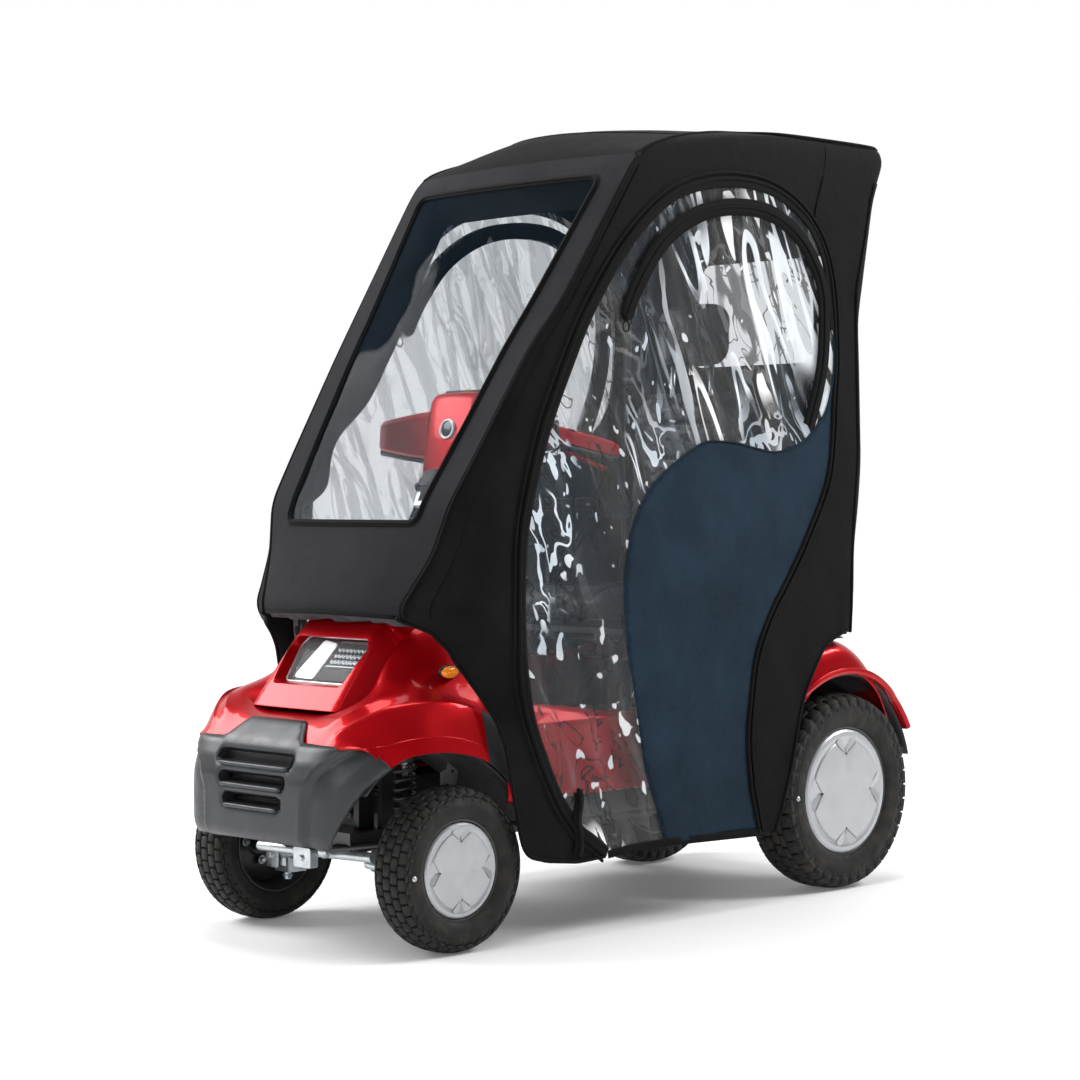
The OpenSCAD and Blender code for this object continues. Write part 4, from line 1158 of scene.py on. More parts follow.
def wheel(side, s, front):
    r, w, bead, y, z = (0.163, 0.094, 0.098, FRONT_Y, 0.163) if front else (0.221, 0.119, 0.143, REAR_Y,
            0.221)
    x0 = s*((0.335 - 0.047) if front else (0.349 - 0.0595))
    h = w/2
    end = "front" if front else "rear"
    body = f"{end}_wheel_{side}"
    at = lambda a, c, t: (x0 + s*a, y + c, z + t)
    face = lambda a, c, t: (x0 + s*(h - 0.0105 + a), y + c, z + t)
    base = r - 0.0085
    half = [(bead - 0.001, h - 0.020), (bead + 0.002, h - 0.011), (bead + 0.008, h - 0.0055),
            (bead + 0.014, h - 0.0035),
            (lerp(bead, r, 0.34), h - 0.0012), (lerp(bead, r, 0.42), h - 0.0002), (lerp(bead, r, 0.50), h),
            (lerp(bead, r, 0.52), h - 0.0010), (lerp(bead, r, 0.66), h - 0.0014), (r - 0.020, h - 0.0035),
            (r - 0.0175, h - 0.0045), (crown(h*0.86, base, h), h*0.86), (crown(h*0.6, base, h), h*0.6),
            (base, h*0.3), (base, 0.0)]
    profile = half + [(a, -b) for a, b in reversed(half[:-1])]
    carcass = lathe(profile, at, 144)
    if front:
        n = 38
        q = h - 0.004
        rows = [(-0.0085, 0.0085, 0.0), (0.0135, 0.0275, 0.5), (-0.0275, -0.0135, 0.5), (0.0315, q, 0.0),
                (-q, -0.0315, 0.0)]
        shapes = []
        for a, b, u in rows:
            c = 0.16 if abs(a) < 0.02 else 0.10
            shapes.append([(u + 0.10, a), (u + 0.90, a), (u + 0.92, (a + b)/2), (u + 0.90, b),
                           (u + 0.10, b), (u + 0.08, (a + b)/2)])
        parts = [tread(r, h, n, shapes, 0.0085, at)]
        for sg in (1, -1):
            vs, fs = [], []
            for k in range(n):
                a = (k + 0.5)*2*pi/n
                rr = r - 0.0235
                c = Vector(at(sg*(h - 0.0022), rr*math.cos(a), rr*math.sin(a)))
                dot = tube([c, c + Vector((s*sg*0.0016, 0, 0))], [0.0050, 0.0036], 12)
                fs += [tuple(len(vs) + i for i in f) for f in dot[1]]
                vs += dot[0]
                b0, b1 = r - 0.018, r - 0.0125
                a = k*2*pi/n
                da = 0.34*2*pi/n
                quad = [at(sg*(h - 0.0040), rr2*math.cos(a + dd), rr2*math.sin(a + dd))
                        for rr2, dd in ((b0, -da), (b0, da), (b1, da), (b1, -da))]
                top = [at(sg*(h - 0.0012), rr2*math.cos(a + dd*0.86), rr2*math.sin(a + dd*0.86))
                       for rr2, dd in ((b0 + 0.0006, -da), (b0 + 0.0006, da), (b1, da), (b1, -da))]
                bx = loft([quad, top])
                fs += [tuple(len(vs) + i for i in f) for f in bx[1]]
                vs += bx[0]
            parts.append((vs, fs))
    else:
        n = 40
        q = h - 0.003
        g = 0.075
        shapes = []
        for sg in (1, -1):
            # a Z-shaped block on each shoulder, then staggered middle blocks
            shapes.append([(0.5*(1 - sg)/2 + u, sg*x) for u,
                           x in ((g, 0.0365), (1 - g, 0.0365), (1 - g, q), (g, q))][::sg])
            shapes.append([(0.5*(1 - sg)/2 + u, sg*x) for u,
                           x in ((0.42 + g, 0.0220), (1.42 - g, 0.0220), (1.42 - g, 0.0352),
                                 (0.42 + g, 0.0352))][::sg])
        shapes.append([(0.20 + g, 0.0035), (1.20 - g, 0.0035), (1.20 - g, 0.0205), (0.20 + g, 0.0205)])
        shapes.append([(0.70 + g, -0.0205), (1.70 - g, -0.0205), (1.70 - g, -0.0035), (0.70 + g, -0.0035)])
        parts = [tread(r, h, n, shapes, 0.0080, at)]
        for sg in (1, -1):
            vs, fs = [], []
            for k in range(n):
                u0 = (k + 0.5*(1 - sg)/2)*2*pi/n
                step = 2*pi/n
                for a0, a1, b0, b1 in ((0.10, 0.90, r - 0.028, r - 0.0165),
                                       (0.10, 0.42, r - 0.036, r - 0.0275)):
                    low = [at(sg*(h - 0.0045), rr*math.cos(u0 + a*step), rr*math.sin(u0 + a*step))
                           for rr, a in ((b0, a0), (b0, a1), (b1, a1), (b1, a0))]
                    up_ = [at(sg*(h - 0.0004), rr*math.cos(u0 + a*step), rr*math.sin(u0 + a*step))
                           for rr, a in ((b0 + 0.0006, a0 + 0.03), (b0 + 0.0006, a1 - 0.03),
                                         (b1, a1 - 0.02), (b1, a0 + 0.02))]
                    bx = loft([low, up_])
                    fs += [tuple(len(vs) + i for i in f) for f in bx[1]]
                    vs += bx[0]
            parts.append((vs, fs))
    piece(f"tyre_{end}_{side}", [carcass] + parts, TYRE, body, "tyre", swaps=(f"{end}_tyre_{side}",),
          bevel=0)
    # rim, dark inside, with its hub cover
    barrel = lathe([(bead + 0.004, h - 0.012), (bead - 0.002, h - 0.013), (bead - 0.005, h - 0.018),
                    (bead - 0.012, h - 0.026), (bead - 0.014, 0.006), (bead - 0.009, -h + 0.026),
                    (bead - 0.004, -h + 0.014), (bead + 0.004, -h + 0.009), (bead + 0.005, -h + 0.006),
                    (bead + 0.002, -h + 0.006), (bead - 0.007, -h + 0.018)], at, 96)
    dish = lathe([(0.0, h - 0.028), (0.030, h - 0.028), (0.034, h - 0.024), (bead*0.62, h - 0.022),
                  (bead - 0.016, h - 0.032), (bead - 0.012, h - 0.034)], at, 64)
    hub = lathe([(0.0, -h + 0.014), (0.018, -h + 0.014), (0.022, -h + 0.017), (0.0235, h - 0.030)], at, 40)
    nuts = []
    for k in range(4 if front else 5):
        a = 2*pi*k/(4 if front else 5)
        nuts.append(bolt(at(h - 0.032, 0.042*math.cos(a), 0.042*math.sin(a)), (-s, 0, 0), 0.007, 0.008))
    piece(f"rim_{end}_{side}", [join(barrel, dish), hub, join(*nuts)], [STEEL, STEEL, ZINC], body,
          "frame_steel",
          swaps=(f"{end}_rim_{side}",), bevel=0.0008)
    cover, disc, holes, facets = hub_face(0.0935 if front else 0.139, face)
    piece(f"hub_cover_{end}_{side}", [cover, disc, holes, facets], [SILVER, SILVER, BLACK, SILVER], body,
          "alloy",
          shade=False, bevel=0.0007)
    rv = bead + (0.031 if front else 0.034)
    base_ = Vector(at(h - 0.002, -rv, -0.002))
    valve = join(tube([base_, base_ + Vector((s*0.0035, 0, 0))], [0.0062, 0.0050], 14),
                 bolt(base_ + Vector((s*0.0030, 0, 0)), (s, 0, 0), 0.0030, 0.0025))
    piece(f"valve_{end}_{side}", [valve], ZINC, body, "zinc")
    # shaft end that the CAD rim carries on the driven wheels
    if not front:
        piece(f"half_shaft_{side}", [bar((s*0.078, y, z), (x0 + s*0.02, y, z), 0.0118, 24),
                                     bar((s*0.200, y, z), (s*0.232, y, z), 0.034, 32)], [ZINC, STEEL],
              body, "zinc",
              bevel=0.001)


for s, side in ((1, "left"), (-1, "right")):
    wheel(side, s, True)
    wheel(side, s, False)


# ---------------------------------------------------------------- front bumper
PLAN = curve([(0.0, -0.806, 0), (0.105, -0.8045, 0), (0.165, -0.8005, 0), (0.205, -0.7880, 0),
              (0.237, -0.7620, 0),
              (0.264, -0.7315, 0), (0.286, -0.7030, 0), (0.305, -0.6750, 0), (0.317, -0.6450, 0),
              (0.322, -0.6150, 0)], 8)
PLAN_S = [0.0]
for a, b in zip(PLAN, PLAN[1:]):
    PLAN_S.append(PLAN_S[-1] + (b - a).length)


def plan_at(u):
    k = abs(u)
    x = float(np.interp(k, PLAN_S, [p.x for p in PLAN]))
    y = float(np.interp(k, PLAN_S, [p.y for p in PLAN]))
    return (x if u >= 0 else -x), y


def plan_normal(u):
    (x0, y0), (x1, y1) = plan_at(u - 0.004), plan_at(u + 0.004)
    return Vector((y1 - y0, -(x1 - x0), 0)).normalized()


def u_of_y(y):
    return float(np.interp(y, [p.y for p in PLAN[9:]], PLAN_S[9:]))


def bumper_point(u, z, out=0.0):
    """On the bumper's wall: u along its plan, z up; the middle leans back above the slots."""
    x, y = plan_at(u)
    n = plan_normal(u)
    a = abs(u)
    lean = float(np.interp(z, [0.213, 0.232, 0.34, 0.377, 0.414, 0.451, 0.47],
                           [0.010, 0.0, 0.0, 0.010, 0.029, 0.069, 0.092]))
    lean *= 1 - 0.30*smooth((a - 0.145)/0.08)
    # the flat face ends at a crease; past it the wall dips and rises again to the wheel arch
    crease_u = float(np.interp(z, [0.213, 0.312, 0.358, 0.390, 0.411, 0.45],
                               [0.150, 0.154, 0.178, 0.214, 0.250, 0.32]))
    d = (a - crease_u)*0.85
    dip = float(np.interp(d, [-0.012, 0.0, 0.010, 0.030, 0.060, 0.085],
                          [0.0, -0.0015, 0.0095, 0.0060, 0.0, -0.001]))
    return Vector((x, y, z)) - n*(dip - out) + Vector((0, lean, 0))


def bumper():
    edge = [(-0.7250, 0.4090), (-0.6960, 0.3700), (-0.7080, 0.3560), (-0.7330, 0.3300), (-0.7520, 0.2980),
            (-0.7680, 0.2620),
            (-0.7790, 0.2320), (-0.7830, 0.2140)]
    edge = [edge[0]] + [(p.x, p.y) for p in curve([(*e, 0) for e in edge[1:]], 5)]
    right_edge = [(u_of_y(y), z) for y, z in edge]
    top = [(0.086, 0.4520), (0.094, 0.4460), (0.118, 0.4190), (0.128, 0.4135), (0.190, 0.4130),
           (0.250, 0.4115)]
    bottom = [(lerp(right_edge[-1][0], -right_edge[-1][0], k/30),
               0.213 + 0.004*math.sin(pi*k/30)) for k in range(1, 30)]
    outline = top + right_edge + bottom + [(-u, z) for u, z in reversed(right_edge)] + [(-u, z) for u,
            z in reversed(top)]
    holes = []
    for half, zt, zb in ((0.117, 0.390, 0.366), (0.103, 0.346, 0.325), (0.091, 0.304, 0.284)):
        holes.append(rounded([(-half + 0.001, zb), (half - 0.001, zb), (half, zt), (-half, zt)], 0.007, 4))

    def lift(u, z, d):
        return bumper_point(u, z, 0.0035 - 0.0035*max(0, 1 - d/0.006)**2)
    vs, fs = cut_sheet(outline, holes, 0.0080, lift)
    piece("bumper_skin", [(vs, fs)], GREY, "chassis", "dark_plastic", thick=0.005, swaps=("front_bumper",))
    parts = []
    for hole in holes:
        ring = even([(*p, 0) for p in hole], 0.008, True)
        mid_z = sum(p.y for p in ring)/len(ring)
        rings = []
        for inset, depth in ((0.0, -0.0035), (0.0015, 0.004), (0.0035, 0.024)):
            rings.append([bumper_point(p.x*(1 - inset*3), p.y - math.copysign(inset, p.y - mid_z),
                                       -depth) for p in ring])
        parts.append(loft(rings, caps=False))
        half = max(p.x for p in ring) - 0.006
        low = min(p.y for p in ring)
        lip = [bumper_point(lerp(-half, half, k/24), low - 0.0030, 0.0045) for k in range(25)]
        parts.append(tube(lip, [0.0015] + [0.0046]*23 + [0.0015], 10))
    piece("bumper_slots", parts, GREY, "chassis", "dark_plastic")
    plate = [block((-0.145, -0.772, 0.270), (0.145, -0.768, 0.396))]
    for k in range(9):
        plate.append(block((-0.135, -0.7755, 0.278 + 0.013*k), (0.135, -0.771, 0.281 + 0.013*k)))
    piece("bumper_grille_back", [join(*plate)], BLACK, "chassis", "black_plastic", bevel=0.0006)


bumper()


# ---------------------------------------------------------------- front body
def row(points, n):
    """One cross-section, its points evenly spread between the given corners."""
    out = []
    for (a, b), m in zip(zip(points, points[1:]), n):
        for k in range(m):
            out.append((lerp(a[0], b[0], k/m), lerp(a[1], b[1], k/m)))
    out.append(points[-1])
    return out


def section_curves(stations, n_long, n_across):
    """Smooth surface through cross-sections, each (y, [(x, z), ...]) with the same number of points."""
    m = len(stations[0][1])
    lines = [curve([(st[1][i][0], st[0] + (st[1][i][2] if len(st[1][i]) > 2 else 0),
                     st[1][i][1]) for st in stations],
                   n_long) for i in range(m)]
    rings = []
    for k in range(len(lines[0])):
        rings.append(curve([line[k] for line in lines], n_across))
    return rings


def across(points, breaks, n):
    """A line through the points that stays sharp at the breaks."""
    cuts = [0] + list(breaks) + [len(points) - 1]
    out = []
    for a, b in zip(cuts, cuts[1:]):
        out += curve(points[a:b + 1], n)[:-1]
    return out + [Vector(points[-1])]


def body_half():
    """Hood flank, valley, rib, fender band and arch lip of one side, from the middle out."""
    st = [
        (-0.766, [(0, .4135), (.06, .4135), (.10, .4135), (.13, .4130), (.155, .4125), (.168, .4120),
                  (.180, .4115),
                  (.190, .4118), (.196, .4115), (.205, .4110), (.213, .4105), (.216, .4100),
                  (.221, .4095)]),
        (-0.748, [(0, .4340), (.06, .4340), (.10, .4345), (.13, .4355), (.162, .4375), (.175, .4365),
                  (.187, .4355),
                  (.200, .4375), (.2065, .4340), (.220, .4240), (.2340, .4145), (.237, .4125),
                  (.243, .4090)]),
        (-0.729, [(0, .4515), (.07, .4515), (.11, .4525), (.145, .4550), (.183, .4635), (.197, .4575),
                  (.209, .4530),
                  (.2190, .4545), (.2260, .4495), (.241, .4310), (.254, .4125), (.257, .4085),
                  (.2615, .4060)]),
        (-0.700, [(0, .4600), (.08, .4600), (.13, .4680), (.170, .4780), (.210, .4840), (.226, .4740),
                  (.235, .4700),
                  (.2420, .4725), (.2490, .4670), (.266, .4400), (.278, .4130), (.2805, .4090),
                  (.2865, .3720)]),
        (-0.670, [(0, .4620), (.10, .4620), (.15, .4800), (.190, .4980), (.221, .4945), (.240, .4830),
                  (.252, .4800),
                  (.2600, .4860), (.2670, .4805), (.285, .4520), (.2990, .4220), (.3015, .4180),
                  (.3070, .3880)]),
        (-0.630, [(0, .4700), (.12, .4720), (.155, .5080), (.195, .5120), (.233, .5030), (.254, .4900),
                  (.267, .4865),
                  (.2785, .4925), (.2855, .4870), (.303, .4580), (.3160, .4275), (.3185, .4235),
                  (.3235, .3960)]),
        (-0.580, [(0, .4900), (.10, .5000), (.145, .5680), (.190, .5380), (.243, .5085), (.265, .4930),
                  (.280, .4875),
                  (.2930, .4940), (.2990, .4885), (.311, .4600), (.3210, .4265), (.3235, .4225),
                  (.3275, .3950)]),
        (-0.530, [(0, .5900), (.10, .5950), (.150, .6180), (.198, .5720), (.250, .5060), (.272, .4870),
                  (.287, .4810),
                  (.3000, .4890), (.3055, .4830), (.315, .4550), (.3230, .4170), (.3255, .4130),
                  (.3290, .3870)]),
        (-0.480, [(0, .6550), (.10, .6530), (.160, .6360), (.212, .5820), (.256, .4990), (.277, .4740),
                  (.291, .4680),
                  (.3020, .4745), (.3070, .4685), (.315, .4400), (.3230, .3990), (.3255, .3950),
                  (.3285, .3720)]),
        (-0.430, [(0, .6520), (.10, .6500), (.165, .6340), (.222, .5720), (.262, .4800), (.282, .4480),
                  (.292, .4420),
                  (.3015, .4490), (.3065, .4430), (.314, .4120), (.3210, .3620), (.3235, .3580),
                  (.3265, .3380)]),
        (-0.392, [(0, .6000), (.10, .5980), (.160, .5850), (.220, .5300), (.262, .4450), (.283, .4120),
                  (.292, .4070),
                  (.3000, .4120), (.3050, .4060), (.312, .3720), (.3180, .3180), (.3205, .3140),
                  (.3235, .2950)]),
    ]
    m = len(st[0][1])
    lines = [curve([(q[1][i][0], q[0], q[1][i][1]) for q in st], 6) for i in range(m)]
    return [across([line[k] for line in lines], (4, 7, 10), 3) for k in range(len(lines[0]))]


def pod_half(z):
    return float(np.interp(z, [0.470, 0.476, 0.517, 0.600, 0.620, 0.634],
                           [0.133, 0.1325, 0.1300, 0.1240, 0.1200, 0.112]))


def pod_face(x, z, d=0.0):
    """The lamp pod's leaning front."""
    w = pod_half(z)
    return (x, lerp(-0.697, -0.573,
                    (z - 0.476)/0.158) - 0.003*(1 - (x/w)**2) + 0.005*smooth((abs(x)/w - 0.93)/0.07), z)


def front_body():
    rings = body_half()
    full = [[Vector((-p.x, p.y, p.z)) for p in reversed(r_)] + [Vector(p) for p in r_[1:]] for r_ in rings]
    vs = loft(full, closed=False, caps=False)[0]
    split = sum(1 for r_ in rings if r_[0].y < -0.474)
    n = len(full[0])
    across_n = (n - 1)//2
    red, grey = [], []
    for k in range(len(rings) - 1):
        for i in range(n - 1):
            side_i = abs(i + 0.5 - across_n)
            face = (k*n + i, (k + 1)*n + i, (k + 1)*n + i + 1, k*n + i + 1)
            (grey if k >= split and side_i > 20 else red).append(face)
    piece("front_body", [(vs, red)], RED, "chassis", "red_paint", thick=-0.0035, bevel=0.0022,
              swaps=("front_body_shell",))
    piece("front_fender_end", [([v + Vector((math.copysign(0.0012, v.x), 0, 0)) for v in vs], grey)],
          GREY, "chassis",
          "dark_plastic", thick=-0.0035, bevel=0.0015)
    win = rounded([(-0.1065, 0.514), (0.1065, 0.514), (0.1215, 0.586), (0.110, 0.607), (-0.110, 0.607),
                   (-0.1215, 0.586)],
                  0.009, 4)
    edge_zs = np.linspace(0.470, 0.634, 18)
    skin = [(pod_half(z)*0.998, z) for z in edge_zs] + [(-pod_half(z)*0.998, z) for z in reversed(edge_zs)]
    face = cut_sheet(skin, [win], 0.0080, pod_face)
    sides = []
    for sg in (1, -1):
        rr = []
        for z in edge_zs:
            w = pod_half(z)
            p0 = Vector(pod_face(w*0.998, z))
            rr.append([p0, p0 + Vector((0.008, 0.008, -0.001)), p0 + Vector((0.024, 0.034, -0.010)),
                       p0 + Vector((0.046, 0.062, -0.034)), p0 + Vector((0.064, 0.092, -0.062))])
        v_, f_ = loft([[Vector((sg*p.x, p.y, p.z)) for p in r_] for r_ in rr], closed=False, caps=False)
        sides.append((v_, f_ if sg > 0 else [tuple(reversed(q)) for q in f_]))
    top = []
    for y, z, w in ((-0.5730, 0.6340, 0.112), (-0.5690, 0.6385, 0.114), (-0.5620, 0.6395, 0.117),
                    (-0.5590, 0.6460, 0.119),
                    (-0.5500, 0.6480, 0.124), (-0.5200, 0.6530, 0.132), (-0.4850, 0.6575, 0.142),
                    (-0.4500, 0.6575, 0.152)):
        half_row = [(0, z), (w*0.6, z), (w*0.93, z - 0.001), (w, z - 0.004), (w + 0.018, z - 0.018),
                    (w + 0.040, z - 0.045),
                    (w + 0.060, z - 0.078)]
        top.append([(-x, y + 0.5*max(0, x - w), zz) for x, zz in reversed(half_row)] +
                   [(x, y + 0.5*max(0, x - w), zz) for x, zz in half_row[1:]])
    tv, tf = loft(top, closed=False, caps=False)
    piece("lamp_pod", [face, (tv, tf)] + sides, RED, "chassis", "red_paint", thick=0.003, bevel=0.0012)
    loop = [Vector((*p, 0)) for p in even([(*p, 0) for p in win], 0.008, True)]
    walls = []
    for depth, shrink in ((0.0, 1.0), (0.004, 0.985), (0.036, 0.945)):
        walls.append([Vector(pod_face(p.x*shrink, 0.560 + (p.y - 0.560)*shrink)) + Vector((0, depth,
                0)) for p in loop])
    back_plate = loft([walls[2], [p.lerp(sum(walls[2], Vector())/len(walls[2]), 0.9) for p in walls[2]]],
                      caps=False)
    piece("lamp_recess", [loft(walls, caps=False), back_plate], [RED, GLOSSBLACK], "chassis", "red_paint")
    rim_line = [Vector(pod_face(p.x*0.93, 0.560 + (p.y - 0.560)*0.93)) + Vector((0, 0.027,
            0)) for p in loop]
    piece("lamp_bezel", [tube(rim_line, 0.0020, 8, closed=True)], CHROME, "chassis", "lamp_bright")

    def inlay(x, z, w=0.0):
        p = pod_face(x, z)
        return (p[0], p[1] + 0.0335 - w, p[2])
    bright = [prism(rounded([(-0.088, 0.524), (-0.022, 0.522), (-0.004, 0.592), (-0.052, 0.598)], 0.008,
                            4), inlay, 0.004)]
    cells = []
    for i in range(3):
        for j in range(8):
            x, z = 0.008 + 0.0118*j - 0.0025*i, 0.585 - 0.0115*i
            if x + 0.011 < 0.104 - 0.006*i:
                cells.append(prism([(x, z), (x + 0.0055, z - 0.0048), (x + 0.0110, z),
                                    (x + 0.0110, z - 0.0040),
                                    (x + 0.0055, z - 0.0088), (x, z - 0.0040)], inlay, 0.004))
    strips = [prism([(0.002, 0.5975), (0.098, 0.5975), (0.096, 0.5935), (0.002, 0.5935)], inlay, 0.004),
              prism([(-0.004, 0.5505), (0.082, 0.5505), (0.081, 0.5480), (-0.005, 0.5480)], inlay, 0.003)]
    glossy = [prism([(-0.012, 0.522), (0.084, 0.522), (0.082, 0.545), (-0.006, 0.545)], inlay, 0.003)]
    piece("lamp_light", bright, LED, "chassis", "lamp_bright", bevel=0.002, swaps=("headlamp_unit",))
    piece("lamp_cells", [join(*cells), join(*strips), join(*glossy)], [CHROME, CHROME, GLOSSBLACK],
          "chassis",
          "lamp_bright", bevel=0.0006)
    inner = [(p.x*0.93, 0.560 + (p.y - 0.560)*0.93) for p in loop]
    lens = cut_sheet(inner, [], 0.012, lambda x, z,
                     d: tuple(Vector(pod_face(x, z)) + Vector((0, 0.026 - 0.004*smooth(d/0.02), 0))))
    piece("lamp_lens", [lens], LENS, "chassis", "lens", swaps=("headlamp_lens",))


front_body()


def indicators():
    for s, side in ((1, "left"), (-1, "right")):
        at = lambda h, c, t: (s*(0.246 + h*0.9), -0.502 + c*0.95 - h*0.4, 0.543 + t*0.50)
        base = lathe([(0.0, 0.004), (0.012, 0.004), (0.0255, 0.003), (0.0275, 0.0), (0.0275, -0.010)], at,
                     40)
        lens = lathe([(0.0, 0.0125), (0.008, 0.012), (0.016, 0.0105), (0.0215, 0.008), (0.024, 0.004)],
                     at, 40)
        ribs = [tube([at(0.0118, x, -0.010), at(0.0118, x, 0.010)], 0.0009, 6) for x in (-0.010, -0.004,
                0.003, 0.010)]
        parts = [base, lens, join(*ribs)]
        if s < 0:
            parts = [(v, [tuple(reversed(f)) for f in fs]) for v, fs in parts]
        piece(f"indicator_{side}", parts, [GREY, AMBER, AMBER], "chassis", "amber",
              swaps=("indicators",) if s > 0 else ())


indicators()


def arch_trims():
    """The dark liner inside each front arch."""
    for s, side in ((1, "left"), (-1, "right")):
        rings = []
        for y, z in flat([(-0.727, 0.318), (-0.712, 0.345), (-0.690, 0.372), (-0.650, 0.392),
                            (-0.600, 0.400), (-0.550, 0.396), (-0.500, 0.382), (-0.450, 0.352),
                            (-0.410, 0.318),
                            (-0.375, 0.272), (-0.355, 0.238)], 4):
            xo = float(np.interp(y, [-0.76, -0.735, -0.70, -0.67, -0.63, -0.55, -0.35],
                                 [0.222, 0.252, 0.280, 0.297, 0.310, 0.318, 0.316]))
            rings.append([(xo, y, z - 0.002), (xo - 0.03, y, z), (0.200, y, z - 0.004),
                          (0.155, y, z - 0.010),
                          (0.150, y, z - 0.018)])
        part = loft([[Vector((s*p[0], p[1], p[2])) for p in r_] for r_ in rings], closed=False, caps=False)
        piece(f"arch_liner_front_{side}", [part], BLACK, "chassis", "black_plastic", thick=0.003)


arch_trims()


